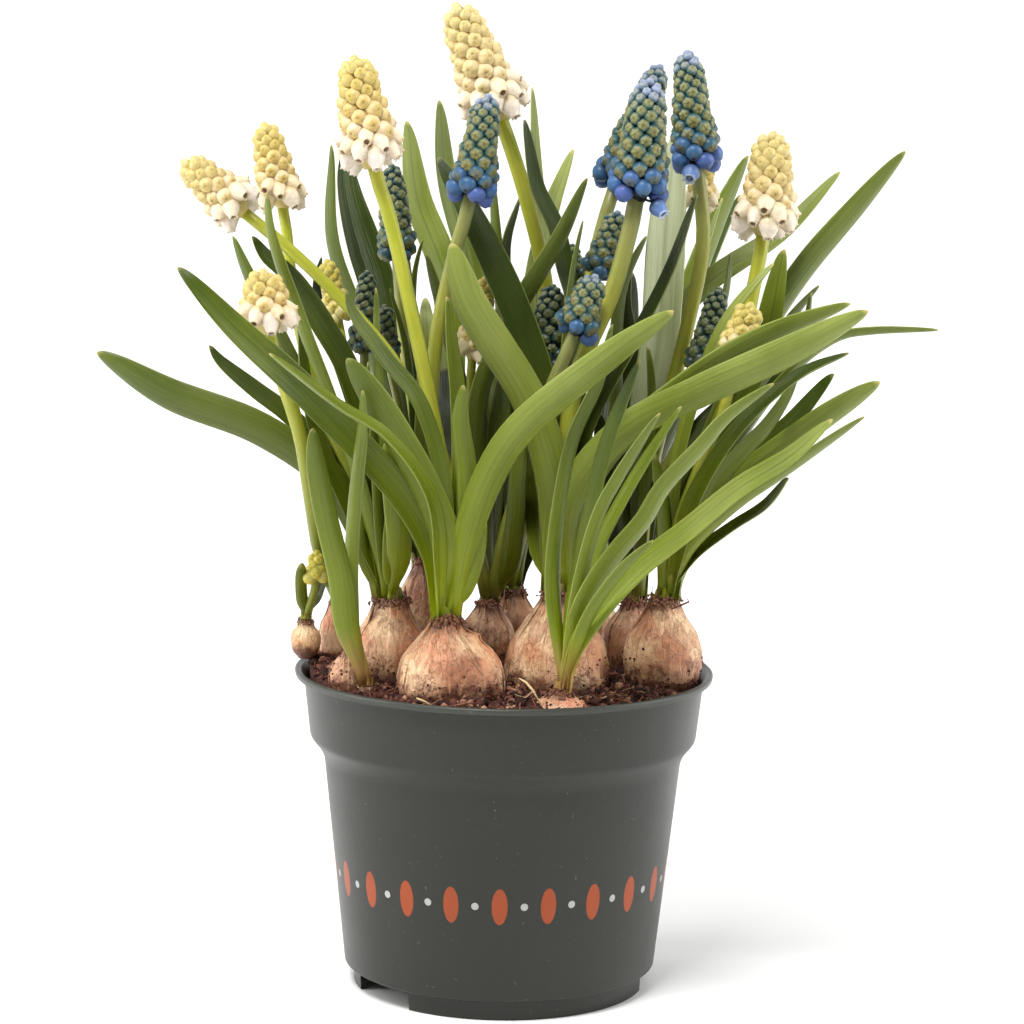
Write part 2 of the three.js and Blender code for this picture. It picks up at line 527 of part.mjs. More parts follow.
// Pairs of samples that lie over each other in the elevation, in the order that the strands' own depths give.
function overlapsOf(strands) {
  const cells = new Map();
  const cellOf = (value) => Math.floor(value / CLEARING.cell);
  const pairs = new Map();
  const depthAt = (strand, s) => {
    const next = strand.knots[Math.min(s.knot + 1, strand.knots.length - 1)];
    return THREE.MathUtils.lerp(strand.knots[s.knot].y, next.y, s.blend) + s.depth;
  };
  strands.forEach((strand, index) => {
    const neckHeight = BULBS[strand.plant].lobes[0][4] + CLEARING.basalHeight;
    for (const sample of strand.samples) {
      const reach = Math.ceil((sample.radius + CLEARING.largestSample) / CLEARING.cell);
      for (let cx = cellOf(sample.x) - reach; cx <= cellOf(sample.x) + reach; cx += 1) {
        for (let cz = cellOf(sample.z) - reach; cz <= cellOf(sample.z) + reach; cz += 1) {
          for (const [otherIndex, other] of cells.get(`${cx},${cz}`) ?? []) {
            const samePlant = strands[otherIndex].plant === strand.plant;
            if (otherIndex === index || (samePlant && Math.min(sample.z, other.z) < neckHeight)) continue;
            const distance = Math.hypot(sample.x - other.x, sample.z - other.z);
            if (distance > sample.radius + other.radius) continue;
            const key = `${otherIndex},${index}`;
            if (!pairs.has(key)) pairs.set(key, { a: otherIndex, b: index, order: 0, touching: [] });
            const pair = pairs.get(key);
            pair.order += depthAt(strand, sample) - depthAt(strands[otherIndex], other);
            pair.touching.push([other, sample]);
          }
        }
      }
    }
    for (const sample of strand.samples) {
      const key = `${cellOf(sample.x)},${cellOf(sample.z)}`;
      if (!cells.has(key)) cells.set(key, []);
      cells.get(key).push([index, sample]);
    }
  });
  return [...pairs.values()];
}

// Strands that cross are pushed apart along the line of sight only, so the elevation stays as drawn.
function clearStrands(strands) {
  strands.forEach((strand) => {
    strand.samples ??= samplesOf(strand);
    strand.shift = strand.knots.map(() => 0);
  });
  const pairs = overlapsOf(strands);
  const depthAt = ({ knots, shift }, { knot, blend, depth }) => {
    const next = Math.min(knot + 1, knots.length - 1);
    return (knots[knot].y + shift[knot]) * (1 - blend) + (knots[next].y + shift[next]) * blend + depth;
  };
  for (let round = 0; round < CLEARING.rounds; round += 1) {
    strands.forEach((strand) => {
      strand.ahead = strand.knots.map(() => 0);
      strand.behind = strand.knots.map(() => 0);
    });
    for (const { a, b, order, touching } of pairs) {
      const [first, second] = [strands[a], strands[b]];
      const sign = Math.sign(order) || 1;
      const share = first.fixed || second.fixed ? 1 : 0.5;
      for (const [s, t] of touching) {
        const between = sign * (depthAt(second, t) - depthAt(first, s));
        const push = share * (s.half + t.half + CLEARING.gap - between);
        if (push > 0) {
          pushKnots(first, s, -sign * push);
          pushKnots(second, t, sign * push);
        }
      }
    }
    const firm = round >= CLEARING.rounds - CLEARING.firmRounds;
    const smoothing = firm ? CLEARING.firmSmoothing : CLEARING.smoothing;
    strands.filter((strand) => !strand.fixed).forEach((strand) => settle(strand, smoothing));
  }
  strands.filter((strand) => !strand.fixed).forEach(({ knots, shift }) => {
    knots.forEach((knot, i) => { knot.y += shift[i]; });
  });
}

function pushKnots(strand, { knot, blend }, push) {
  const side = push > 0 ? strand.behind : strand.ahead;
  const next = Math.min(knot + 1, strand.knots.length - 1);
  side[knot] = Math.max(side[knot], Math.abs(push) * Math.min(1, 2 * (1 - blend)));
  side[next] = Math.max(side[next], Math.abs(push) * Math.min(1, 2 * blend));
}

function settle(strand, smoothing) {
  const { knots, shift, ahead, behind, rigidTip } = strand;
  const last = knots.length - 1;
  for (let i = 0; i < last; i += 1) shift[i] += 0.5 * (behind[i] - ahead[i]);
  const old = [...shift];
  for (let i = 1; i < last; i += 1) shift[i] += smoothing * ((old[i - 1] + old[i + 1]) / 2 - old[i]);
  for (let i = 0; i < last; i += 1) {
    const limit = CLEARING.depthLimit;
    shift[i] = THREE.MathUtils.clamp(shift[i], -limit - knots[i].y, limit - knots[i].y);
  }
  if (rigidTip) {
    const mean = (shift[0] + shift[1]) / 2;
    shift[0] = mean;
    shift[1] = mean;
  }
}

// ---------------------------------------------------------------- leaves, stalks and heads

// A channelled blade: two sharp edges, a keel below and a channel above.
function bladeSolid({ knots, turns, halfWidths }) {
  const tangents = tangentsOf(knots);
  const middle = Math.floor(knots.length / 2);
  const up = Math.sign(tangents[middle].clone().cross(acrossOf(tangents[middle], turns[middle])).z) || 1;
  const rings = knots.map((knot, i) => {
    const across = acrossOf(tangents[i], turns[i]);
    const face = tangents[i].clone().cross(across).multiplyScalar(up);
    const lift = 2 * LEAF.channel * halfWidths[i];
    const corner = (side, height) => (
      atDepth(knot.clone().addScaledVector(across, side).addScaledVector(face, height))
    );
    return [
      corner(halfWidths[i], lift),
      corner(0, LEAF.thickness / 2),
      corner(-halfWidths[i], lift),
      corner(0, -LEAF.thickness / 2),
    ];
  });
  return toSolid(loft(rings));
}

function stalkSolid({ knots, turns, halfWidths }) {
  const stalk = knots.slice(1);
  const tangents = tangentsOf(stalk);
  const rings = stalk.map((knot, i) => {
    const across = acrossOf(tangents[i], turns[i + 1]);
    const face = tangents[i].clone().cross(across);
    return Array.from({ length: STALK.sides }, (_, k) => {
      const angle = (k / STALK.sides) * TURN;
      return atDepth(knot.clone()
        .addScaledVector(across, halfWidths[i + 1] * Math.cos(angle))
        .addScaledVector(face, halfWidths[i + 1] * Math.sin(angle)));
    });
  });
  return toSolid(loft(rings));
}

function sheathSolid(plant) {
  const [x, y, , , neck, , r] = BULBS[plant].lobes[0];
  const low = neck + GAP;
  const high = low + SHEATH_HEIGHT;
  return toSolid(turned([[0, low], [r, low], [0.8 * r, high], [0, high]], BULB_SIDES, x, y));
}

// A plant's leaves and stalks are one piece, joined in the sheath.
function greensSolid(plant, strands) {
  const blades = strands.filter(({ kind }) => kind === 'leaf').map(bladeSolid);
  const stalks = strands.filter(({ kind }) => kind === 'flower').map(stalkSolid);
  const joined = Manifold.union([sheathSolid(plant), ...blades, ...stalks]);
  const bodies = joined.asOriginal().simplify(SEAM_TOLERANCE).decompose();
  return bodies.reduce((largest, body) => (body.volume() > largest.volume() ? body : largest));
}

// A cone that is widest a little above its base, with a round tip.
function headRadius(share) {
  const { widest, base, top, round, tip } = HEAD;
  if (share < widest) return 1 - (1 - base) * ((widest - share) / widest) ** 2;
  const cone = THREE.MathUtils.mapLinear(share, widest, 1, 1, top);
  const past = Math.max(0, (share - round) / (1 - round));
  return cone * Math.sqrt(Math.max(tip ** 2, 1 - past ** 2));
}

// A head is one surface of beads, packed in staggered rows: a ring of corners runs between each two rows, and
// each bead rises from its six corners to its own top.
function headGeometry({ knots, halfWidths }) {
  const [tip, base] = knots;
  const axis = tip.clone().sub(base);
  const length = axis.length();
  axis.normalize();
  const across = acrossOf(axis, 0);
  const face = axis.clone().cross(across);
  const radius = halfWidths[0];
  const rows = Math.max(3, Math.round(length / HEAD.beadHeight) - 1);
  const around = Math.round(TURN * radius / HEAD.beadWidth);
  const perRow = THREE.MathUtils.clamp(around, HEAD.fewestSides, HEAD.mostSides);
  const vertices = [];
  const faces = [];
  const pointAt = (row, slot, reach) => {
    const share = row / (rows + HEAD.topRow);
    const angle = (slot / (2 * perRow)) * TURN;
    const out = radius * headRadius(share) * reach;
    return atDepth(base.clone().addScaledVector(axis, length * share)
      .addScaledVector(across, out * Math.cos(angle))
      .addScaledVector(face, out * Math.sin(angle)));
  };
  const add = (row, slot, reach) => vertices.push(pointAt(row, slot, reach)) - 1;
  const rings = Array.from({ length: rows + 1 }, (_, r) => (
    Array.from({ length: 2 * perRow }, (_, slot) => {
      const high = (slot + r) % 2 === 1;
      return add(r + (high ? 2 * HEAD.zigzag : 0), slot, HEAD.valley);
    })
  ));
  const slotOf = (slot) => (slot + 2 * perRow) % (2 * perRow);
  for (let row = 0; row < rows; row += 1) {
    const droop = THREE.MathUtils.lerp(-HEAD.nod, HEAD.rise, row / (rows - 1));
    for (let slot = row % 2; slot < 2 * perRow; slot += 2) {
      const [low, high] = [rings[row], rings[row + 1]];
      const corners = [
        low[slotOf(slot - 1)], low[slot], low[slotOf(slot + 1)],
        high[slotOf(slot + 1)], high[slot], high[slotOf(slot - 1)],
      ];
      const top = add(row + 0.5 + HEAD.zigzag + droop, slot, 1);
      const round = row < HEAD.openRows && radius > HEAD.openRadius;
      const inner = round ? corners.map((corner) => {
        const shoulder = vertices[corner].clone().lerp(vertices[top], HEAD.openShoulder);
        const outwards = vertices[top].clone().sub(vertices[corner]).setLength(HEAD.openSwell * radius);
        return vertices.push(shoulder.add(outwards)) - 1;
      }) : corners;
      corners.forEach((corner, k) => {
        const next = (k + 1) % 6;
        if (round) faces.push(corner, corners[next], inner[next], corner, inner[next], inner[k]);
        faces.push(inner[k], inner[next], top);
      });
    }
  }
  const below = add(HEAD.recess, 0, 0);
  const above = vertices.push(atDepth(tip)) - 1;
  for (let slot = 0; slot < 2 * perRow; slot += 1) {
    faces.push(rings[0][slotOf(slot + 1)], rings[0][slot], below);
    faces.push(rings[rows][slot], rings[rows][slotOf(slot + 1)], above);
  }
  return surface(vertices, faces);
}

// ---------------------------------------------------------------- pot and soil

function potSolid() {
  const { sides, outside, inside, floorTop, floorUnderside, floorCorner, footInside, notch, drains } = POT;
  const corner = [inside[inside.length - 1][0] - floorCorner, floorTop];
  const profile = [[0, floorUnderside], [footInside, floorUnderside], [footInside, 0], ...outside, ...inside,
    corner, [0, floorTop]];
  const notches = notch.azimuths.map((azimuth) => {
    const box = new THREE.BoxGeometry(notch.width, notch.depth, 2 * notch.height);
    return toSolid(box.translate(0, -POT.outside[0][0], 0).rotateZ(THREE.MathUtils.degToRad(azimuth)));
  });
  const holes = Array.from({ length: drains.count }, (_, k) => {
    const { radius, ring, depth } = drains;
    const hole = new THREE.CylinderGeometry(radius, radius, depth, drains.sides).rotateX(Math.PI / 2);
    return toSolid(hole.translate(ring, 0, floorTop).rotateZ((k / drains.count) * TURN));
  });
  return toSolid(turned(profile, sides)).subtract(Manifold.union([...notches, ...holes]));
}

function soilHeight(x, y) {
  const long = Math.sin(0.31 * x + 0.17 * y) + Math.sin(0.23 * y - 0.35 * x + 1.7);
  const short = Math.sin(0.52 * x + 0.44 * y + 0.6);
  const { smoothstep } = THREE.MathUtils;
  const heaped = smoothstep(-x, 20, 44) * (1 - smoothstep(Math.abs(y), 12, 36));
  return SOIL.lump * (long + short) / 3 + SOIL.heap * heaped;
}

function soilSolid() {
  const { top, wallGap, wallTop, shoulder } = SOIL;
  const walls = POT.inside.slice().reverse().map(([radius, height]) => [radius - wallGap, height]);
  const inner = walls.filter(([, height]) => height < top - wallTop);
  const edge = inner[inner.length - 1][0] + 1.8;
  const floor = POT.floorTop + GAP;
  const rings = SOIL.rings.slice().reverse().map((share) => [share * edge, top]);
  const bottom = [[0, floor], [inner[0][0] - 1, floor]];
  const profile = [...bottom, ...inner, [edge, top - shoulder], ...rings, [0, top]];
  const geometry = turned(profile, SOIL.sides);
  const position = geometry.attributes.position;
  for (let i = 0; i < position.count; i += 1) {
    const [x, y, z] = [position.getX(i), position.getY(i), position.getZ(i)];
    if (z >= top - shoulder) position.setZ(i, z + soilHeight(x, y));
  }
  const hollows = Object.keys(BULBS).map((plant) => bulbSolid(plant, GAP));
  return toSolid(geometry).subtract(Manifold.union(hollows));
}

// ---------------------------------------------------------------- the object

const MATERIALS = {
  pot: new THREE.MeshStandardMaterial({ color: 0x50544b, roughness: 0.42, metalness: 0 }),
  soil: new THREE.MeshStandardMaterial({ color: 0x3c2620, roughness: 0.95, metalness: 0 }),
  bulb: new THREE.MeshStandardMaterial({ color: 0xcda57d, roughness: 0.6, metalness: 0 }),
  greens: new THREE.MeshStandardMaterial({ color: 0x6b8038, roughness: 0.45, metalness: 0 }),
  white: new THREE.MeshStandardMaterial({ color: 0xe8dcb0, roughness: 0.55, metalness: 0 }),
  blue: new THREE.MeshStandardMaterial({ color: 0x5b7392, roughness: 0.55, metalness: 0 }),
};

function part(name, geometry, material) {
  const mesh = new THREE.Mesh(geometry, material.clone());
  mesh.name = name;
  return mesh;
}

const strands = [
  ...Object.keys(BULBS).map(bulbStrand),
  ...LEAVES.map(leafStrand),
  ...FLOWERS.map(flowerStrand),
];
clearStrands(strands);

const object = new THREE.Group();
object.add(part('pot', toGeometry(potSolid()), MATERIALS.pot));
object.add(part('soil', toGeometry(soilSolid()), MATERIALS.soil));

for (const [plant, { name }] of Object.entries(BULBS)) {
  object.add(part(name, toGeometry(bulbSolid(plant)), MATERIALS.bulb));
  const own = strands.filter((strand) => strand.plant === plant && strand.kind !== 'bulb');
  if (own.length) {
    object.add(part(name.replace('bulb', 'greens'), toGeometry(greensSolid(plant, own)), MATERIALS.greens));
  }
}

const counts = { white: 0, blue: 0 };
for (const strand of strands.filter(({ kind }) => kind === 'flower')) {
  counts[strand.colour] += 1;
  const name = `bloom_${strand.colour}_${String(counts[strand.colour]).padStart(2, '0')}`;
  object.add(part(name, headGeometry(strand), MATERIALS[strand.colour]));
}

export default object;
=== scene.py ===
"""Potted grape hyacinths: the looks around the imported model.

The plants are drawn as the model draws them. Their courses lie in the front elevation, in millimetres, and
each strand then moves along the line of sight until it is clear of its neighbours. So every fine leaf, stalk
and flower head lies where its solid lies.
"""

import json
import math

import bpy
import numpy as np
from mathutils import Matrix, Vector, noise

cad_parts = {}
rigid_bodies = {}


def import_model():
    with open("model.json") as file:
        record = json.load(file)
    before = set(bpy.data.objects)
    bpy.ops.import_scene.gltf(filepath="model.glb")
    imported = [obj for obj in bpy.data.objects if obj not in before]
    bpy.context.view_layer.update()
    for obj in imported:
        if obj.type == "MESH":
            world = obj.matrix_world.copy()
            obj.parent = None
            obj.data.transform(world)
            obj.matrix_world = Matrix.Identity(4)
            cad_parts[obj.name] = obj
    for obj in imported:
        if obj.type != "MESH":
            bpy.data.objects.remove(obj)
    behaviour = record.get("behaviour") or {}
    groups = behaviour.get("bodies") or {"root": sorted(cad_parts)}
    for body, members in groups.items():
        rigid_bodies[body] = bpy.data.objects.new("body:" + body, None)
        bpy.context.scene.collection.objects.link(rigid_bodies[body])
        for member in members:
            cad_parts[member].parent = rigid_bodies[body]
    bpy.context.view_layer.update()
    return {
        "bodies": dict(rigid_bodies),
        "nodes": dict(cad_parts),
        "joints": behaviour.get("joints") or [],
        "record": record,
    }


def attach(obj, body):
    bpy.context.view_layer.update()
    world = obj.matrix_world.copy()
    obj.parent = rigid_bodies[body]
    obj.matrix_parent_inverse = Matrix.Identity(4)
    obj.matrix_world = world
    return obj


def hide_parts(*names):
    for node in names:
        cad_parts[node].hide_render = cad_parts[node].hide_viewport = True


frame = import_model()

MM = 0.001
TURN = 2 * math.pi
GOLDEN_ANGLE = math.radians(137.508)
RANDOM = np.random.default_rng(5)

# ---------------------------------------------------------------- sizes, in millimetres

# The plants are drawn across and up, on the plane through the pot's axis, as a viewer at EYE sees them.
EYE = np.array([1.5, -888.0, 263.0])

# outside, from the foot up, and inside, from the rim down: [radius, height, radius of the corner]
POT_OUTSIDE = [
    [42, 0, 0.4], [42.3, 5.4, 0.6], [44.8, 6.2, 0.5], [51.3, 66.5, 1.5], [52.8, 69.4, 1.5],
    [55.4, 72.4, 1.2], [57.3, 89.3, 0.5], [59.7, 89.9, 0.3], [60.0, 91.4, 0.5], [59.3, 92, 0.5],
]
POT_INSIDE = [[58.2, 91.6, 0.6], [56.4, 89, 1], [54.2, 73.4, 1], [50, 67.6, 1], [43.8, 9.4, 0.8]]
POT = {
    "sides": 144,
    "floor_top": 8.4,
    "floor_underside": 7,
    "foot_inside": 40,
    "notch_azimuths": [-53, 91, 199],
    "notch_width": 24,
    "notch_height": 5,
    "drains": 5,
    "drain_ring": 28,
    "drain_radius": 4.5,
}

SOIL = {"top": 90, "lump": 1, "heap": 3.4, "crumbs": 3600, "fibres": 420}

SHEATH_HEIGHT = 7
ROOT_SPREAD = 0.72
ROOT_HEIGHT = 1.5
LEAN_SOFTENING = 12
GAP = 0.3

# Each bulb: [x, y, radius, height of the widest part, height of the neck, height of the base, neck's radius]
BULBS = {
    "c": ["front_left", [-16.2, -33, 13.4, 93.5, 112, 83, 4.2], [-8.4, -35, 8.8, 94, 108, 83, 1.6]],
    "d": ["middle", [14.9, -15.6, 15, 93, 116.5, 83, 4.8]],
    "e": ["right", [45, -11.5, 11.2, 97.5, 115, 84, 4.4]],
    "b": ["left", [-32.2, -13.4, 10.2, 98.5, 113.5, 84, 4.8]],
    "p": ["pink_left", [-43, -27.6, 5.6, 93.5, 101.5, 85, 1.4]],
    "h": ["front_far_left", [-37.4, -33.6, 4.2, 85, 92.4, 77, 2.4]],
    "g": ["front_small", [15.6, -45.4, 7.4, 89.5, 94.6, 79, 3.4]],
    "a": ["rim_left", [-56.8, -4, 4.4, 100, 105.4, 94.4, 2.3]],
    "q": ["left_pale", [-47.6, 4.6, 5.8, 99.5, 110, 86, 2.8]],
    "j": ["brown_left", [-23.5, 12, 8.2, 105, 121, 86, 3]],
    "i": ["brown_middle", [-5, 4, 8, 98.5, 110.5, 86, 3]],
    "f": ["papery_right", [37.3, 11, 8.4, 99, 110, 85, 3.4]],
    "k": ["back_left", [-25, 36, 9, 97, 109, 84, 3.4]],
    "m": ["back_middle", [2, 27, 8.8, 97, 110, 84, 3.4]],
    "l": ["back_right", [25, 37, 9, 97, 109, 84, 3.4]],
}

# Leaves: [bulb, width, depth of the tip, turn of the blade in degrees, points from the tip to near the neck]
LEAVES = [
    ["h", 7.4, -54, 14, [-55.5, 160], [-54.5, 152], [-51.5, 136], [-47, 117], [-45, 103]],
    ["h", 5.4, -47, -40, [-41.5, 171], [-42, 158.5], [-43.5, 143], [-44.5, 126], [-44.5, 111], [-43.5, 100]],
    ["c", 7.5, -66, 66, [-68, 181], [-48, 166], [-35, 158], [-22, 140]],
    ["c", 9.5, -50, -14, [-46, 180], [-31, 157], [-23, 143], [-17, 126]],
    ["c", 8.8, -58, 18, [-94, 205], [-79, 189], [-59, 171], [-30, 141], [-22, 126]],
    ["c", 9, -74, 12, [46, 195], [26, 180], [3, 160], [-5, 147], [-11, 130]],
    ["c", 6.5, -36, 42, [-18, 198], [-17, 186], [-15, 169], [-14, 134]],
    ["c", 6.6, -43, -20, [-13, 173], [-14, 163], [-12, 146], [-13, 123]],
    ["c", 4, -38, 30, [-6, 134], [-8, 122], [-11, 114]],
    ["c", 5.6, -52, 30, [-46.5, 199.5], [-45.5, 195], [-43.5, 191], [-40.5, 187], [-34.5, 179],
     [-26.5, 169.5],
      [-20, 152], [-17.5, 133]],
    ["g", 6, -48, 45, [29, 191], [26, 175], [19, 158], [15, 135], [14, 115]],
    ["g", 5.8, -66, -38, [37, 181], [28, 155], [24, 135], [20, 112]],
    ["g", 6, -76, 52, [43, 166], [32, 147], [27, 137], [22, 118]],
    ["g", 6, -70, -54, [49, 168], [34, 142], [25, 122]],
    ["g", 7, -80, 45, [75, 175], [62.5, 165], [55, 156], [44.5, 144], [39.5, 135], [31.5, 125], [25, 115],
      [20.5, 104.5]],
    ["g", 7.4, -88, -30, [92, 165], [80.5, 154], [66, 144.5], [52, 132.5], [38.5, 121.5], [29.5, 112],
      [23.5, 103], [20, 95]],
    ["g", 4.2, -76, 40, [42, 129.5], [34.5, 122], [28, 113.5], [24, 106.5]],
    ["d", 11, -30, -10, [-17, 213], [-12, 197], [6, 168], [14, 141]],
    ["d", 9.4, -74, 14, [101, 196], [77, 183], [54, 172], [32, 160], [18, 141]],
    ["d", 8.4, -52, 32, [96, 198], [71, 187], [51, 174], [26, 150]],
    ["d", 9.4, 4, -16, [-21, 237], [-12, 223], [3, 192], [12, 160]],
    ["d", 7.4, 8, 40, [3, 248], [4, 241.5], [6.5, 229], [12, 217.5], [14.5, 207], [18, 195], [18, 165]],
    ["d", 6.4, -4, -52, [52, 228], [45, 206], [35, 185], [22, 158]],
    ["d", 4, -6, 62, [20, 220], [18, 208], [16, 186], [15, 150]],
    ["d", 6, -4, 20, [3, 166], [6, 149], [7.8, 134.7], [10, 123]],
    ["e", 7, -42, -36, [92, 178], [80, 163], [69, 154], [58, 141], [50, 126]],
    ["e", 7.8, -50, 20, [105, 176], [88, 164], [65, 146], [54, 132]],
    ["e", 6.4, -62, 64, [101, 166], [80, 150], [66, 140], [53, 127]],
    ["e", 6, -34, -62, [80, 148], [74, 140], [64, 133], [53, 124]],
    ["e", 6, -24, 48, [42, 154], [45, 141], [46, 126]],
    ["e", 8.2, -6, 30, [110, 241], [98, 226], [82, 206], [68, 182], [55, 147]],
    ["e", 9.4, -20, -28, [77, 213], [73, 189], [64, 164], [52, 138]],
    ["e", 6.6, -10, 58, [87, 203], [78, 191], [66, 170], [52, 141]],
    ["e", 6, -30, -62, [85, 201], [83, 188], [71, 168], [54, 140]],
    ["e", 6, -38, 62, [121, 191], [102, 190], [94, 188.5], [86, 183.5], [77, 174.5], [68.5, 162.5],
     [58, 145]],
    ["e", 6.6, -54, -54, [96, 184], [82, 177], [66, 162], [53, 140]],
    ["e", 6.6, -46, 46, [82, 178.5], [80, 173], [77.5, 168], [73.5, 162], [68, 156], [61, 147]],
    ["e", 6.4, -26, -52, [74, 209], [62, 193], [54, 173], [48, 147]],
    ["e", 9.8, -2, 10, [75, 180], [66, 170], [55, 159], [48, 138]],
    ["f", 11.6, 18, 14, [45, 244], [43, 215], [42, 188], [38, 155]],
    ["f", 7.6, 36, -34, [92, 235], [77, 218], [55, 202], [41, 184], [36, 155]],
    ["f", 6.4, 13, 52, [38, 216], [32, 201], [31, 175], [33, 147]],
    ["f", 6.6, 16, -42, [34, 209], [33, 198], [35, 184], [35, 155]],
    ["f", 6, 28, 62, [62, 212], [61, 200], [55, 179], [42, 147]],
    ["f", 6, 2, -58, [39, 185], [40, 170], [38, 140]],
    ["l", 8, 70, 36, [66, 239], [58, 220], [51, 201], [37, 165]],
    ["l", 4, 50, -60, [59, 227], [55, 213], [50, 195], [36, 160]],
    ["l", 7, 84, -48, [64, 228], [53, 201], [40, 170], [31, 142]],
    ["m", 6.4, 30, 52, [5, 257], [6, 237], [8, 212], [8, 160]],
    ["m", 7.6, 36, -34, [17, 240], [11, 221], [7, 198], [5, 155]],
    ["m", 6.4, 18, 52, [2, 226], [-2, 213], [-1, 189], [1, 150]],
    ["m", 6, 8, -48, [-6, 234], [-5, 218], [-3, 195], [0, 155]],
    ["m", 8.4, 54, 32, [-21, 253], [-19, 231], [-11, 203], [-2, 160]],
    ["i", 7, -8, 36, [21, 232], [14, 215], [1, 192], [-8, 169], [-6, 138]],
    ["i", 6, -12, -20, [4, 160], [2.6, 146], [2.2, 134.6], [0.5, 121]],
    ["k", 10, 80, 30, [-30, 247], [-27, 225], [-19, 203], [-18, 160]],
    ["k", 6.6, 32, -50, [-51, 240], [-51, 213], [-42, 188], [-29, 150]],
    ["k", 9.4, 62, 24, [-47, 237], [-45, 225], [-37, 200], [-27, 155]],
    ["k", 4.6, 48, 30, [-48, 238.5], [-48.5, 231], [-47, 220], [-44.5, 210], [-41.5, 201], [-33, 170]],
    ["k", 4, 6, 60, [-34, 200], [-29, 184], [-26, 155]],
    ["k", 4, 22, -56, [-30, 215], [-29, 204], [-26, 160]],
    ["k", 4, 12, 58, [-25, 214], [-27, 203], [-26, 160]],
    ["b", 5.4, -50, -44, [-69, 226], [-68, 215], [-59, 189], [-52, 171], [-43, 146], [-37, 124]],
    ["b", 8, -22, 30, [-73, 214], [-69.5, 208.5], [-63.5, 203.5], [-54, 190], [-45.5, 175], [-38.5, 147]],
    ["b", 5, 16, 40, [-53.5, 208.5], [-55, 202], [-54.5, 195], [-52, 188], [-41, 155]],
    ["b", 6.4, 10, -34, [-78.5, 214], [-76, 207], [-71.5, 197], [-64.5, 183], [-54.5, 163], [-43, 138]],
    ["b", 6, -22, 48, [-60, 191], [-56, 162], [-43, 132]],
    ["b", 5, -24, -58, [-38, 200], [-38, 184], [-36, 157], [-35, 131]],
    ["b", 5, -32, 62, [-40, 179], [-38, 163], [-36, 135]],
    ["b", 7, -4, 36, [-85, 183], [-82.5, 179], [-72.5, 170.5], [-63, 163.5], [-54.5, 155], [-44, 138]],
    ["b", 9.6, -8, -12, [-116.8, 180.5], [-97, 169], [-70, 159], [-49, 144], [-40, 126]],
    ["b", 5, -22, 46, [-31, 143], [-33, 130]],
    ["b", 5, -18, 40, [-40, 155], [-41, 138], [-40.5, 124.5], [-37, 116]],
    ["b", 7, -30, 14, [-34, 157], [-31.5, 140], [-30.5, 122.5]],
    ["j", 5, 4, 40, [-27, 146], [-25, 132]],
    ["a", 3.4, -13, 20, [-58.4, 121], [-58.2, 112]],
    ["a", 3.6, 2, -30, [-50.6, 124], [-53, 114]],
    # behind the rest
    ["k", 8, 88, 20, [-38, 196], [-32, 180], [-27, 150]],
    ["m", 7, 62, -36, [-8, 182], [-3, 165], [1, 140]],
    ["l", 8, 88, 18, [34, 206], [32, 185], [28, 150]],
    ["l", 8, 64, -24, [46, 188], [38, 170], [28, 142]],
    ["f", 7, 58, 34, [60, 186], [48, 172], [38, 144]],
    ["f", 8, 34, 22, [42, 172], [40, 146], [38, 124]],
    ["f", 7, 28, -30, [26, 166], [30, 141], [34, 122]],
    ["f", 7, 44, 24, [47, 176], [44.5, 158], [41.5, 135]],
    ["m", 5.4, 22, -34, [-24, 210], [-22, 202.5], [-18.5, 190.5], [-13, 169], [-6, 146]],
    ["m", 8, 48, -24, [-9, 176], [-5.5, 160], [-2, 140]],
    ["m", 8, 44, 28, [7, 170], [6.5, 145], [4.5, 124]],
    ["i", 6.4, 12, 30, [-9.5, 160], [-8.5, 132], [-7, 119]],
    ["i", 7, 20, -24, [-1, 178], [-3, 150], [-5, 125]],
    ["j", 6, 26, 10, [-24, 197.5], [-23.5, 180.5], [-24, 160], [-24.5, 137]],
    ["j", 8, 40, -20, [-18, 178], [-19, 152], [-21, 131]],
    ["j", 7, 30, 34, [-32, 157], [-30.5, 140], [-28, 127]],
]

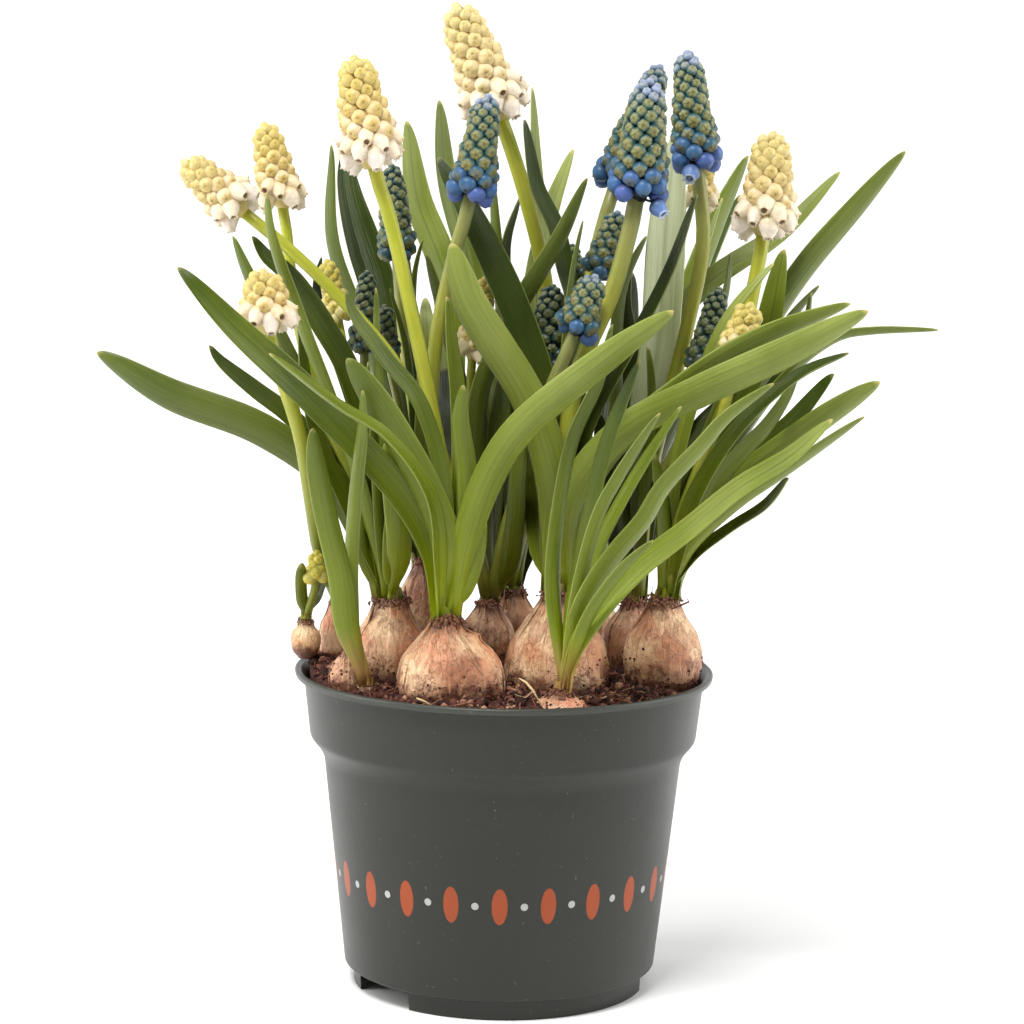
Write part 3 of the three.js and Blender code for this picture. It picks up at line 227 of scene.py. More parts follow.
# Flower heads and their stalks: [bulb, colour, depth of the head, greatest width, its tip, its base, then
# the stalk's points down to near the neck]
FLOWERS = [
    ["c", "white", -22, 14.6, [-93, 235], [-74.5, 220], [-63, 211], [-46, 195], [-31, 177], [-19, 150]],
    ["b", "white", -5, 13.5, [-70, 246], [-64, 221], [-63, 213], [-61, 196], [-54, 168], [-39, 134]],
    ["c", "white", -25, 17.5, [-45, 265], [-39, 233], [-35, 222], [-28, 194], [-20, 157], [-16, 134]],
    ["m", "white", 10, 18.3, [-17, 280], [-3, 247], [4, 226], [10, 200], [9, 160]],
    ["e", "white", -12, 17.5, [73, 246], [71, 216], [68, 199], [64, 176], [56, 154], [49, 130]],
    ["q", "white", -44, 17.5, [-70, 205], [-68.5, 186], [-64, 173], [-59, 157.5], [-55.5, 137.5], [-53, 124]],
    ["b", "white", 4, 8.4, [-52, 208], [-48, 189], [-45, 174], [-41, 154], [-36, 130]],
    ["m", "white", 0, 10.8, [-7, 204], [-11, 180], [-10, 160], [-4, 137]],
    ["e", "white", -32, 12.7, [68, 198], [64, 181], [61, 167], [53, 147], [48, 130]],
    ["l", "white", 25, 9.6, [54, 239], [53, 223], [53, 210], [46, 184], [33, 150]],
    ["a", "white", -3, 7.4, [-54, 125], [-54.4, 115], [-55, 112]],
    ["i", "blue", -10, 13, [-7, 255], [-12, 224], [-17, 206], [-21, 184], [-21, 160], [-10, 132]],
    ["d", "blue", -14, 15.8, [38, 260], [35, 225], [29, 201], [19, 175], [16, 140]],
    ["f", "blue", 5, 13.3, [48, 268], [52, 234], [54, 215], [50, 190], [40, 145]],
    ["d", "blue", 6, 12.7, [41, 264], [28, 228], [24, 212], [21, 192], [18, 150]],
    ["d", "blue", 2, 9.8, [30, 223], [24, 204], [21, 186], [18, 150]],
    ["i", "blue", -20, 12.4, [24, 205], [18, 187], [11, 170], [6, 152], [0, 132]],
    ["d", "blue", -2, 12.7, [12, 202], [10, 172], [12, 155], [14, 136]],
    ["k", "blue", 5, 8.4, [-40.5, 205], [-41.5, 181], [-39, 163], [-29, 140]],
    ["k", "blue", 14, 7, [-35.5, 195.5], [-34.5, 180], [-31, 166], [-26, 140]],
    ["k", "blue", 20, 10.4, [-34, 235], [-32, 207], [-30, 186], [-25, 150]],
    ["f", "blue", 5, 10.2, [59, 202], [54, 177], [50, 161], [39, 136]],
    ["m", "blue", 22, 6, [17, 213.5], [19.5, 203], [17, 189], [9, 152]],
    ["d", "blue", -6, 9.4, [19, 170], [20, 151], [18, 132]],
]

LEAF = {
    "thickness": 1.15,
    "channel": 0.15,
    "twist": 24,
    "stations": [0, 0.06, 0.2, 0.42, 0.7, 1],
    "short_stations": [0, 0.08, 0.3, 0.62, 1],
    "short_length": 105,
    "taper": 0.3,
    "tip_width": 0.05,
    "solid_tip": 0.14,
    "root_width": 0.72,
    "depth_share": 1.25,
}
STALK = {"radius_share": {"white": 0.115, "blue": 0.15}, "least_radius": 1.1, "root_swell": 1.1,
         "spacing": 28, "depth_share": 1.1}
HEAD = {"widest": 0.22, "base": 0.78, "top": 0.56, "round": 0.82, "tip": 0.3}

# How the strands are kept clear of each other: the model's own rule, so that both give the same depths
CLEARING = {
    "gap": 0.7,
    "step": 3,
    "rounds": 320,
    "firm_rounds": 90,
    "smoothing": 0.35,
    "firm_smoothing": 0.1,
    "basal_height": 14,
    "depth_limit": 88,
}
ROUND_SHARES = [-0.8, -0.4, 0, 0.4, 0.8]
BLADE_SHARES = [-2 / 3, 0, 2 / 3]

# ---------------------------------------------------------------- elevation, depth and curves


def at_depth(points):
    """Points of the front elevation, slid along their lines of sight to their depths."""
    points = np.asarray(points, float)
    reach = (points[..., 1:2] - EYE[1]) / -EYE[1]
    placed = EYE + (points - EYE) * reach
    placed[..., 1] = points[..., 1]
    return placed


def in_elevation(point):
    """Where the front elevation shows a point."""
    point = np.asarray(point, float)
    reach = -EYE[1] / (point[1] - EYE[1])
    drawn = EYE + (point - EYE) * reach
    drawn[1] = point[1]
    return drawn


def smoothstep(value, low, high):
    share = np.clip((value - low) / (high - low), 0, 1)
    return share * share * (3 - 2 * share)


def through(x, y, at):
    """Smooth values through the points x, y without overshoot, and its ends held."""
    x, y, at = (np.asarray(v, float) for v in (x, y, at))
    step = np.diff(x)
    slope = np.diff(y) / step
    tangent = np.zeros(len(x))
    tangent[0], tangent[-1] = slope[0], slope[-1]
    before, after = slope[:-1], slope[1:]
    same = before * after > 0
    weight = (2 * step[1:] + step[:-1], step[1:] + 2 * step[:-1])
    safe = np.where(same, before, 1), np.where(same, after, 1)
    mean = (weight[0] + weight[1]) / (weight[0] / safe[0] + weight[1] / safe[1])
    tangent[1:-1] = np.where(same, mean, 0)
    at = np.clip(at, x[0], x[-1])
    i = np.clip(np.searchsorted(x, at, side="right") - 1, 0, len(x) - 2)
    t = (at - x[i]) / step[i]
    return (
        y[i] * (1 + 2 * t) * (1 - t) ** 2
        + y[i + 1] * t * t * (3 - 2 * t)
        + step[i] * t * (1 - t) * (tangent[i] * (1 - t) - tangent[i + 1] * t)
    )


class Curve:
    """A centripetal Catmull-Rom curve through points, read by its share of length."""

    def __init__(self, points):
        p = np.asarray(points, float)
        padded = np.vstack([2 * p[0] - p[1], p, 2 * p[-1] - p[-2]])
        t = np.linspace(0, len(p) - 1, 801)
        i = np.minimum(t.astype(int), len(p) - 2)
        w = (t - i)[:, None]
        p0, p1, p2, p3 = (padded[i + k] for k in range(4))
        spans = (p1 - p0, p2 - p1, p3 - p2)
        d0, d1, d2 = (np.linalg.norm(span, axis=1)[:, None] ** 0.5 for span in spans)
        t1 = d1 * ((p1 - p0) / d0 - (p2 - p0) / (d0 + d1) + (p2 - p1) / d1)
        t2 = d1 * ((p2 - p1) / d1 - (p3 - p1) / (d1 + d2) + (p3 - p2) / d2)
        self.points = p1 + w * (t1 + w * (3 * (p2 - p1) - 2 * t1 - t2 + w * (2 * (p1 - p2) + t1 + t2)))
        steps = np.linalg.norm(np.diff(self.points, axis=0), axis=1)
        self.lengths = np.concatenate([[0], np.cumsum(steps)])

    def at(self, shares):
        along = np.asarray(shares) * self.lengths[-1]
        return np.stack([np.interp(along, self.lengths, column) for column in self.points.T], axis=1)


# ---------------------------------------------------------------- strands

# A strand is a leaf, or a stalk with its flower head. Its knots run from the tip to the root.


def root_of(plant, tip_x, tip_depth):
    """Where a strand leaves its bulb's neck, a little to the side that it leans to."""
    x, y, _, _, neck, _, neck_radius = BULBS[plant][1]
    lean = np.array([tip_x - x, tip_depth - y, 0.0])
    lean *= ROOT_SPREAD * neck_radius / (np.linalg.norm(lean) + LEAN_SOFTENING)
    return in_elevation(np.array([x, y, neck + GAP + ROOT_HEIGHT]) + lean)


def tangents_of(knots):
    """Directions along a path, from its end to its start."""
    padded = np.vstack([knots[:1], knots, knots[-1:]])
    tangents = padded[:-2] - padded[2:]
    return tangents / np.linalg.norm(tangents, axis=1)[:, None]


def across_of(tangents, turns):
    """Across the strand, turned from the elevation plane towards the line of sight."""
    tangents = np.atleast_2d(tangents)
    turns = np.broadcast_to(turns, len(tangents))
    in_plane = np.stack([tangents[:, 2], np.zeros(len(tangents)), -tangents[:, 0]], axis=1)
    in_plane /= np.linalg.norm(in_plane, axis=1)[:, None]
    across = in_plane * np.cos(turns)[:, None]
    across[:, 1] += np.sin(turns)
    across -= tangents * np.sum(across * tangents, axis=1)[:, None]
    return across / np.linalg.norm(across, axis=1)[:, None]


def leaf_width(share):
    """A leaf's width at each share of its length from the tip, as a share of its greatest."""
    tip = np.sqrt(1 - (1 - np.minimum(1, share / LEAF["taper"])) ** 2)
    root = 1 + (LEAF["root_width"] - 1) * smoothstep(share, 0.7, 1)
    return np.maximum(tip, LEAF["tip_width"]) * root


class Strand:
    """What leaves and stalks share: a course in the elevation, its depths, and the shifts that clear it."""

    def __init__(self, plant, points, tip, depth, depth_share):
        self.plant = plant
        self.root = root_of(plant, tip[0], depth)
        self.tip = tip
        self.depth = depth
        self.depth_share = depth_share
        self.curve = Curve([*points, [self.root[0], self.root[2]]])
        self.length = self.curve.lengths[-1]
        ends = np.array([*points, [self.root[0], self.root[2]]])
        self.drawn_length = np.linalg.norm(np.diff(ends, axis=0), axis=1).sum()

    def course(self, shares, shift=0):
        drawn = self.curve.at(shares)
        depths = self.root[1] + (self.depth - self.root[1]) * (1 - np.asarray(shares)) ** self.depth_share
        return np.stack([drawn[:, 0], depths + shift, drawn[:, 1]], axis=1)


class Leaf(Strand):
    def __init__(self, plant, width, depth, turn, *points):
        super().__init__(plant, points, points[0], depth, LEAF["depth_share"])
        short = self.drawn_length < LEAF["short_length"]
        self.width, self.turn = width, turn
        self.stations = np.array(LEAF["short_stations" if short else "stations"])
        self.knots = self.course(self.stations)
        self.turns = self.turns_at(self.stations)
        self.half_widths = 0.5 * width * np.maximum(leaf_width(self.stations), LEAF["solid_tip"])
        middle = len(self.knots) // 2
        tangents = tangents_of(self.knots)
        face = np.cross(tangents, across_of(tangents, self.turns))
        self.up = np.sign(face[middle, 2]) or 1

    def turns_at(self, shares):
        return np.radians(self.turn + np.sign(self.turn) * LEAF["twist"] * (0.5 - shares))

    def fine_course(self, shares):
        return self.course(shares, through(self.stations, self.shift, shares))


class Flower(Strand):
    def __init__(self, plant, colour, depth, width, tip, *points):
        super().__init__(plant, points, tip, depth, STALK["depth_share"])
        count = max(2, math.floor(self.drawn_length / STALK["spacing"] + 0.5))
        self.colour, self.width = colour, width
        self.stations = np.arange(count + 1) / count
        self.knots = np.vstack([[tip[0], depth, tip[1]], self.course(self.stations)])
        self.turns = np.zeros(count + 2)
        self.half_widths = np.concatenate([[width / 2], self.radii_at(self.stations)])

    def radii_at(self, shares):
        radius = max(STALK["least_radius"], STALK["radius_share"][self.colour] * self.width)
        return radius * (1 + (STALK["root_swell"] - 1) * shares)

    def fine_course(self, shares):
        return self.course(shares, through(self.stations, self.shift[1:], shares))

    def tip_place(self):
        return np.array([self.tip[0], self.depth + self.shift[0], self.tip[1]])


# ---------------------------------------------------------------- clearing


def bulb_outline(lobe):
    """A bulb's profile from its base up, as radii and heights."""
    _, _, r, middle, neck, base, throat = lobe
    below, shoulder = middle - base, neck - middle
    return np.array([
        [0.45 * r, base],
        [0.86 * r, base + 0.4 * below],
        [r, middle],
        [0.9 * r, middle + 0.36 * shoulder],
        [max(0.6 * r, throat), middle + 0.66 * shoulder],
        [throat, middle + 0.9 * shoulder],
        [0.8 * throat, neck],
    ])


def strand_samples(strand):
    """Rows of knot, blend, x, z, depth from the centre, radius and half depth."""
    rows = []
    tangents = tangents_of(strand.knots)
    acrosses = across_of(tangents, strand.turns)
    flower = isinstance(strand, Flower)
    for i in range(len(strand.knots) - 1):
        head = flower and i == 0
        start, end = strand.knots[i], strand.knots[i + 1]
        steps = max(1, math.ceil(np.linalg.norm(end - start) / CLEARING["step"]))
        for k in range(steps):
            blend = (k + 0.5) / steps
            side = acrosses[i] + (acrosses[i + 1] - acrosses[i]) * blend
            half = strand.half_widths[i]
            if not head:
                half += (strand.half_widths[i + 1] - half) * blend
            centre = start + (end - start) * blend
            for share in ROUND_SHARES if head else [0] if flower else BLADE_SHARES:
                x, y, z = centre + side * share * half
                if head:
                    extent = 0.22 * half + 0.4, half * math.sqrt(1 - share**2)
                elif flower:
                    extent = half + 0.4, half + 0.1
                else:
                    third = half / 3
                    extent = math.hypot(side[0], side[2]) * third + 0.5, abs(side[1]) * third + 0.9
                rows.append([i, blend, x, z, y - centre[1], *extent])
    return rows


def bulb_samples(plant):
    """The same for a bulb and the leaves' bases in its neck, which stay in place."""
    x, y, _, _, neck, base, neck_radius = BULBS[plant][1]
    outline = bulb_outline(BULBS[plant][1])
    rows = []
    for z in np.arange(base + 2, neck + SHEATH_HEIGHT, 2):
        r = np.interp(z, outline[:, 1], outline[:, 0]) if z < neck else neck_radius
        for share in ROUND_SHARES:
            drawn = in_elevation([x + share * r, y, z])
            rows.append([0, 0, drawn[0], drawn[2], 0, 0.2 * r + 1, r * math.sqrt(1 - share**2)])
    return rows


class Clearing:
    """Pushes strands that cross apart along the line of sight only, so the elevation stays as drawn."""

    def __init__(self, strands):
        self.strands = strands
        plants = list(BULBS)
        groups = [np.array(bulb_samples(plant)) for plant in plants]
        groups += [np.array(strand_samples(strand)) for strand in strands]
        owners = plants + [strand.plant for strand in strands]
        sizes = [1] * len(plants) + [len(strand.knots) for strand in strands]
        starts = np.concatenate([[0], np.cumsum(sizes)])
        self.first_knot = starts[len(plants)]
        depths = [BULBS[plant][1][1] for plant in plants]
        depths += [depth for strand in strands for depth in strand.knots[:, 1]]
        self.depth = np.array(depths, float)
        self.last = np.zeros(len(self.depth), bool)
        self.last[starts[1:] - 1] = True
        self.first = np.zeros(len(self.depth), bool)
        self.first[starts[:-1]] = True
        rigid = [isinstance(strand, Flower) for strand in strands]
        self.tips = starts[len(plants) : -1][rigid]
        rows = np.concatenate(groups)
        index = np.repeat(np.arange(len(groups)), [len(group) for group in groups])
        knot = starts[index] + rows[:, 0].astype(int)
        following = np.minimum(knot + 1, starts[index + 1] - 1)
        names = ("blend", "x", "z", "offset", "radius", "half")
        self.samples = {"knot": knot, "next": following, "group": index, **dict(zip(names, rows.T[1:]))}
        self.find_pairs(owners, np.cumsum([len(group) for group in groups]), len(plants))

    def find_pairs(self, owners, ends, fixed):
        """The samples that the elevation shows one over the other, and which of the two lies in front."""
        s = self.samples
        depth = self.depths(self.depth)
        first, second, signs = [], [], []
        for group in range(1, len(owners)):
            low, high = ends[group - 1], ends[group]
            mine = np.arange(low, high)
            near = np.hypot(*(s[axis][mine, None] - s[axis][:low] for axis in "xz"))
            ours, theirs = np.nonzero(near <= s["radius"][mine, None] + s["radius"][:low])
            ours = ours + low
            basal = BULBS[owners[group]][1][4] + CLEARING["basal_height"]
            kin = np.array([owner == owners[group] for owner in owners])[s["group"][theirs]]
            low_down = np.minimum(s["z"][ours], s["z"][theirs]) < basal
            kept = ~(kin & low_down)
            ours, theirs = ours[kept], theirs[kept]
            order = np.bincount(s["group"][theirs], depth[ours] - depth[theirs], minlength=len(owners))
            sign = np.where(order < 0, -1, 1)
            first.append(theirs)
            second.append(ours)
            signs.append(sign[s["group"][theirs]])
        self.a, self.b, self.sign = (np.concatenate(v) for v in (first, second, signs))
        self.share = np.where((s["group"][self.a] < fixed) | (s["group"][self.b] < fixed), 1, 0.5)
        self.room = s["half"][self.a] + s["half"][self.b] + CLEARING["gap"]
        touches = np.arange(len(self.a))
        # Each touch pushes both samples' two knots. A target is twice the knot, and one more for a push back.
        entries = []
        for sample, towards in ((self.a, -self.sign), (self.b, self.sign)):
            blend = s["blend"][sample]
            for knot, weight in ((s["knot"], 2 * (1 - blend)), (s["next"], 2 * blend)):
                entries.append((2 * knot[sample] + (towards > 0), touches, np.minimum(1, weight)))
        target, touch, weight = (np.concatenate(v) for v in zip(*entries))
        order = np.argsort(target, kind="stable")
        self.target, self.touch, self.weight = target[order], touch[order], weight[order]
        self.runs = np.flatnonzero(np.concatenate([[True], np.diff(self.target) > 0]))

    def depths(self, knot_depths):
        s = self.samples
        return knot_depths[s["knot"]] * (1 - s["blend"]) + knot_depths[s["next"]] * s["blend"] + s["offset"]

    def settle(self):
        """Shifts the knots' depths round by round until the strands are clear of each other."""
        shift = np.zeros(len(self.depth))
        limit = CLEARING["depth_limit"]
        inner = np.flatnonzero(~self.first & ~self.last)
        for turn in range(CLEARING["rounds"]):
            depth = self.depths(self.depth + shift)
            between = self.sign * (depth[self.b] - depth[self.a])
            push = np.maximum(0, self.share * (self.room - between))
            most = np.zeros(2 * len(shift))
            most[self.target[self.runs]] = np.maximum.reduceat(push[self.touch] * self.weight, self.runs)
            free = ~self.last
            shift[free] += 0.5 * (most[1::2] - most[::2])[free]
            firm = turn >= CLEARING["rounds"] - CLEARING["firm_rounds"]
            smoothing = CLEARING["firm_smoothing" if firm else "smoothing"]
            old = shift.copy()
            shift[inner] += smoothing * ((old[inner - 1] + old[inner + 1]) / 2 - old[inner])
            shift[free] = np.clip(shift, -limit - self.depth, limit - self.depth)[free]
            shift[self.tips] = shift[self.tips + 1] = (shift[self.tips] + shift[self.tips + 1]) / 2
        start = self.first_knot
        for strand in self.strands:
            strand.shift = shift[start : start + len(strand.knots)]
            start += len(strand.knots)


# ---------------------------------------------------------------- shapes


def circle(count):
    """Angles evenly round a turn."""
    return np.arange(count) / count * TURN


def ring(centre, reach, angles, heights):
    """Points round an upright axis. The reaches, angles and heights broadcast together."""
    x, y = centre[0] + reach * np.cos(angles), centre[1] + reach * np.sin(angles)
    return np.stack(np.broadcast_arrays(x, y, heights), axis=-1)


def loft(rings):
    """A closed surface through rings of points: the points, and the faces as quads and triangles."""
    rings = np.asarray(rings, float)
    rows, columns = rings.shape[:2]
    k = np.arange(columns)
    following = (k + 1) % columns
    low = np.arange(rows - 1)[:, None] * columns
    quads = np.stack([low + k, low + following, low + columns + following, low + columns + k], axis=-1)
    last = (rows - 1) * columns
    caps = [
        np.stack([following, k, np.full(columns, rows * columns)], axis=1),
        np.stack([last + k, last + following, np.full(columns, rows * columns + 1)], axis=1),
    ]
    return with_ends(rings), quads.reshape(-1, 4), np.concatenate(caps)


def with_ends(values):
    """A loft's values for each ring's points, and the first and last ring's means for its two ends."""
    flat = values.reshape(-1, values.shape[-1])
    return np.vstack([flat, values[0].mean(axis=0), values[-1].mean(axis=0)])


def volume(points, quads, triangles):
    """Six times a closed surface's volume, less than 0 where its faces look inwards."""
    corners = np.concatenate([quads[:, [0, 1, 2]], quads[:, [0, 2, 3]], triangles])
    a, b, c = (points[corners[:, i]] for i in range(3))
    return np.sum(a * np.cross(b, c))


def channels(values, size):
    """Values that broadcast to rows and columns, side by side as a vertex's channels."""
    return np.stack([np.broadcast_to(value, size) for value in values], axis=-1).astype(float)


class Shape:
    """One piece's vertices and faces, in millimetres, with a tone and a grain at each vertex."""

    def __init__(self):
        self.parts = []
        self.count = 0

    def scatter(self, template, places, turns, tones, grains, slot=0):
        """Copies of a closed surface, each with its own place, 3x3 turn and size, and tones."""
        points, quads, triangles = template
        copies = len(places)
        moved = np.einsum("cij,pj->cpi", turns, points) + places[:, None]
        step = self.count + (np.arange(copies) * len(points))[:, None, None]
        faces = [(quads[None] + step).reshape(-1, 4), (triangles[None] + step).reshape(-1, 3)]
        if np.linalg.det(turns[0]) * volume(points - points.mean(axis=0), quads, triangles) < 0:
            faces = [corners[:, ::-1] for corners in faces]
        tones, grains = (
            np.broadcast_to(np.asarray(values, float), (copies, len(points), size)).reshape(-1, size)
            for values, size in ((tones, 4), (grains, 3))
        )
        self.parts.append((moved.reshape(-1, 3), *faces, tones, grains, slot))
        self.count += copies * len(points)

    def add(self, surface, tone=(0, 0, 0, 0), grain=(0, 0, 0), slot=0):
        self.scatter(surface, np.zeros((1, 3)), np.eye(3)[None], tone, grain, slot)

    def add_rings(self, rings, tones, grains, slot=0):
        """A loft, with its tones and grains given by rows and columns of the rings."""
        size = rings.shape[:2]
        self.add(loft(rings), with_ends(channels(tones, size)), with_ends(channels(grains, size)), slot)

    def to_object(self, name, *materials):
        points, quads, triangles, tones, grains = (
            np.concatenate([part[i] for part in self.parts]) for i in range(5)
        )
        slots = [np.full(len(part[kind]), part[5]) for kind in (1, 2) for part in self.parts]
        mesh = bpy.data.meshes.new(name)
        mesh.vertices.add(len(points))
        mesh.vertices.foreach_set("co", (points * MM).ravel())
        mesh.loops.add(quads.size + triangles.size)
        mesh.loops.foreach_set("vertex_index", np.concatenate([quads.ravel(), triangles.ravel()]))
        mesh.polygons.add(len(quads) + len(triangles))
        starts = np.concatenate([np.arange(len(quads)) * 4, quads.size + np.arange(len(triangles)) * 3])
        mesh.polygons.foreach_set("loop_start", starts)
        mesh.polygons.foreach_set("material_index", np.concatenate(slots))
        mesh.polygons.foreach_set("use_smooth", np.ones(len(starts), bool))
        mesh.attributes.new("tone", "FLOAT_COLOR", "POINT").data.foreach_set("color", tones.ravel())
        mesh.attributes.new("grain", "FLOAT_VECTOR", "POINT").data.foreach_set("vector", grains.ravel())
        mesh.update(calc_edges=True)
        for material in materials:
            mesh.materials.append(material)
        piece = bpy.data.objects.new(name, mesh)
        bpy.context.scene.collection.objects.link(piece)
        return piece


def tube(path, radii, sides):
    """Rings about a path, round in section."""
    path = np.asarray(path, float)
    tangents = tangents_of(path)
    across = across_of(tangents, 0)
    face = np.cross(tangents, across)
    a, b = np.cos(circle(sides))[:, None], np.sin(circle(sides))[:, None]
    radii = np.broadcast_to(radii, len(path))[:, None, None]
    return path[:, None] + radii * (across[:, None] * a + face[:, None] * b)


def fbm(points, size, octaves, seed):
    """Smooth noise of about -1 to 1 at each point, in a lump size and its halves."""
    flat = points.reshape(-1, 3)
    total = np.zeros(len(flat))
    for octave in range(octaves):
        scale = 2**octave / size
        total += 0.5**octave * np.array([noise.noise(Vector(p * scale + seed + 7 * octave)) for p in flat])
    return total.reshape(points.shape[:-1])


def turning_frames(axes, spins):
    """3x3 turns that take +Z to each axis, after a spin about it."""
    axes = axes / np.linalg.norm(axes, axis=1)[:, None]
    helper = np.where(np.abs(axes[:, 2:3]) < 0.9, [[0, 0, 1.0]], [[1.0, 0, 0]])
    x = np.cross(helper, axes)
    x /= np.linalg.norm(x, axis=1)[:, None]
    y = np.cross(axes, x)
    c, s = np.cos(spins)[:, None], np.sin(spins)[:, None]
    return np.stack([x * c + y * s, y * c - x * s, axes], axis=2)


def tumbled(random, count):
    """As many turns, each any way up."""
    return turning_frames(random.normal(size=(count, 3)), random.uniform(0, TURN, count))


# ---------------------------------------------------------------- leaves and stalks

# How dark (0) to pale and glaucous (1) some leaves are, by their tips' place in the front elevation: partly
# their own tone, partly painted shade on those that lie behind others or turn away from the light
LEAF_SHADES = {
    (-21, 237): 0.2, (3, 248): 0.2, (52, 228): 0.15, (38, 216): 0.1, (34, 209): 0.1, (-51, 240): 0.12,
    (-47, 237): 0.25, (-48, 238.5): 0.15, (87, 203): 0.15, (85, 201): 0.1, (96, 184): 0.15, (80, 148): 0.2,
    (2, 226): 0.15, (75, 180): 0.1, (-53.5, 208.5): 0.15, (-78.5, 214): 0.2, (-46.5, 199.5): 0.3,
    (45, 244): 1.0, (5, 257): 0.75, (17, 240): 0.75, (74, 209): 0.8, (59, 227): 0.7, (-24, 197.5): 0.85,
    (-116.8, 180.5): 0.4, (-50.6, 124): 0.05, (96, 198): 0.65, (105, 176): 0.65, (92, 165): 0.6,
    (101, 196): 0.65, (46, 195): 0.68, (-17, 213): 0.78, (-85, 183): 0.25, (-94, 205): 0.35,
    (-30, 247): 0.6,
}
OTHER_LEAF_SHADE = 0.42
# painted shade: the short leaves in the middle of the pot lie behind the others and are drawn dark
HIDDEN_LEAF_PAINTED_SHADE = 0.04  # of the short leaves in the middle of the pot

# Rows and sides of a leaf's vertices, with fewer rows on one that isn't long; the slow wave of its edges, as a
# share of its half width; its ribs' depth, as a share of its thickness; and how much it narrows in the neck
BLADE = {"long": 60, "rows": 40, "short_rows": 24, "sides": 16, "wave": 0.05, "wave_length": 17, "ribs": 5,
         "rib_depth": 0.04, "narrowing": 0.34}
STALK_SIDES = 12
SHEATH_SIDES = 32
LOW_NECK = 6  # a neck less than this over the soil has a short sheath and no scales
SINK = 0.8  # how far strands reach into the bulb's neck past its top


def leaf_shade(leaf):
    chance = RANDOM.uniform(-0.2, 0.2)
    tip = tuple(leaf.tip)
    if tip in LEAF_SHADES:
        return LEAF_SHADES[tip] + 0.2 * chance
    # low leaves that lie behind the others are drawn dark, as painted shade
    if leaf.depth > 20 and leaf.tip[1] < 215:
        return HIDDEN_LEAF_PAINTED_SHADE + 0.5 * chance
    return OTHER_LEAF_SHADE + chance


def sheltered(path):
    """How much the plants round each point of a strand keep the light from it."""
    return (smoothstep(path[:, 1], -42, 8) * smoothstep(path[:, 2], 200, 140))[:, None]


def draw_leaf(shape, leaf, index):
    """A leaf with ribs under it, a channel above and a slow wave along its edges."""
    rows = BLADE["rows" if leaf.length > BLADE["long"] else "short_rows"]
    shares = (np.arange(rows) / (rows - 1)) ** 1.6
    path = leaf.fine_course(shares)
    tangents = tangents_of(path)
    path[-1, 2] -= ROOT_HEIGHT + SINK
    across = across_of(tangents, leaf.turns_at(shares))
    face = np.cross(tangents, across) * leaf.up
    half = 0.5 * leaf.width * leaf_width(shares) * (1 - BLADE["narrowing"] * smoothstep(shares, 0.78, 1))
    a, b = np.cos(circle(BLADE["sides"])), np.sin(circle(BLADE["sides"]))
    from_root = (leaf.length * (1 - shares))[:, None]
    wave = BLADE["wave"] * np.sin(from_root / BLADE["wave_length"] + index + 1.5 * np.sign(a)) * np.abs(a)
    side = half[:, None] * (a + wave)
    thickness = LEAF["thickness"] * (0.35 + 0.65 * np.minimum(1, half / 2.5))[:, None]
    ribs = BLADE["rib_depth"] * np.cos(BLADE["ribs"] * math.pi * a) * (b < 0)
    channel = (LEAF["channel"] + 0.3 * smoothstep(shares, 0.8, 1)) * half
    height = 2 * channel[:, None] * np.abs(a) ** 1.7 + (0.5 * b - ribs) * thickness
    rings = path[:, None] + across[:, None] * side[..., None] + face[:, None] * height[..., None]
    tones = sheltered(path), leaf_shade(leaf), np.abs(a), smoothstep(b, -0.1, 0.3)
    shape.add_rings(at_depth(rings), tones, (side, from_root, (leaf.length * shares)[:, None]))


def draw_stalk(shape, flower):
    rows = max(14, round(flower.length / 5))
    shares = np.arange(rows) / (rows - 1)
    path = flower.fine_course(shares)
    path[0] += 0.16 * (flower.tip_place() - path[0])
    rings = at_depth(tube(path, flower.radii_at(shares), STALK_SIDES))
    from_tip = flower.length * shares[:, None]
    tones = sheltered(path), RANDOM.random(), flower.colour == "blue", 0
    grains = np.arange(STALK_SIDES) / STALK_SIDES, flower.length - from_tip, from_tip
    shape.add_rings(rings, tones, grains, slot=1)


def draw_sheath(shape, plant):
    """The short fluted tube that wraps the leaves' bases in a bulb's neck."""
    x, y, _, _, neck, _, radius = BULBS[plant][1]
    angles = circle(SHEATH_SIDES)
    levels = np.linspace(0, 1, 9)[:, None]
    low = neck < SOIL["top"] + LOW_NECK
    height, width = (1.8, 0.6) if low else (2.6, 0.66)
    flutes = 0.06 * np.cos(5 * angles + 1.2) + 0.04 * np.cos(11 * angles)
    top = height * levels + 0.7 * levels * np.sin(3 * angles + 0.6)
    rings = ring((x, y), radius * (width - 0.12 * levels + flutes), angles, neck + GAP + top)
    shape.add_rings(rings, (0, 0.4 if low else 0.15, 0.5, 0), (1.6 * np.arange(SHEATH_SIDES), 3 * levels, 60))


# ---------------------------------------------------------------- bulbs

# Each bulb's skin: how pink, how brown and how crinkled it is
BULB_LOOKS = {
    "c": (0.6, 0.12, 1.0), "d": (0.4, 0.14, 0.5), "e": (0.5, 0.35, 0.9), "b": (0.7, 0.0, 0.5),
    "p": (1.0, 0.1, 0.3), "h": (0.6, 0.1, 0.2), "g": (1.3, 0.0, 0.1), "a": (0.0, 0.2, 0.1),
    "q": (0.7, 0.1, 0.3), "j": (0.7, 0.5, 0.7), "i": (0.8, 0.75, 0.8), "f": (1.0, 0.05, 0.8),
    "k": (0.2, 0.4, 0.5), "m": (0.2, 0.5, 0.5), "l": (0.3, 0.4, 0.5),
}
# Rows and columns of a bulb's vertices: fine for a bulb that is big enough and near enough to the front
FINE_SKIN, COARSE_SKIN = (84, 150), (46, 76)
FINE_FROM = {"radius": 9, "depth": -15}
CREASES = {"lumps": 0.03, "folds": 0.7, "fold_width": 0.4, "wrinkles": 0.1}
FLAKE = {"rows": 18, "columns": 16, "thickness": 0.28}
LEAST_SCALED_RADIUS = 5
COLLAR_HEIGHT = 0.97  # the height share, from a bulb's base to its neck, that colours its collar


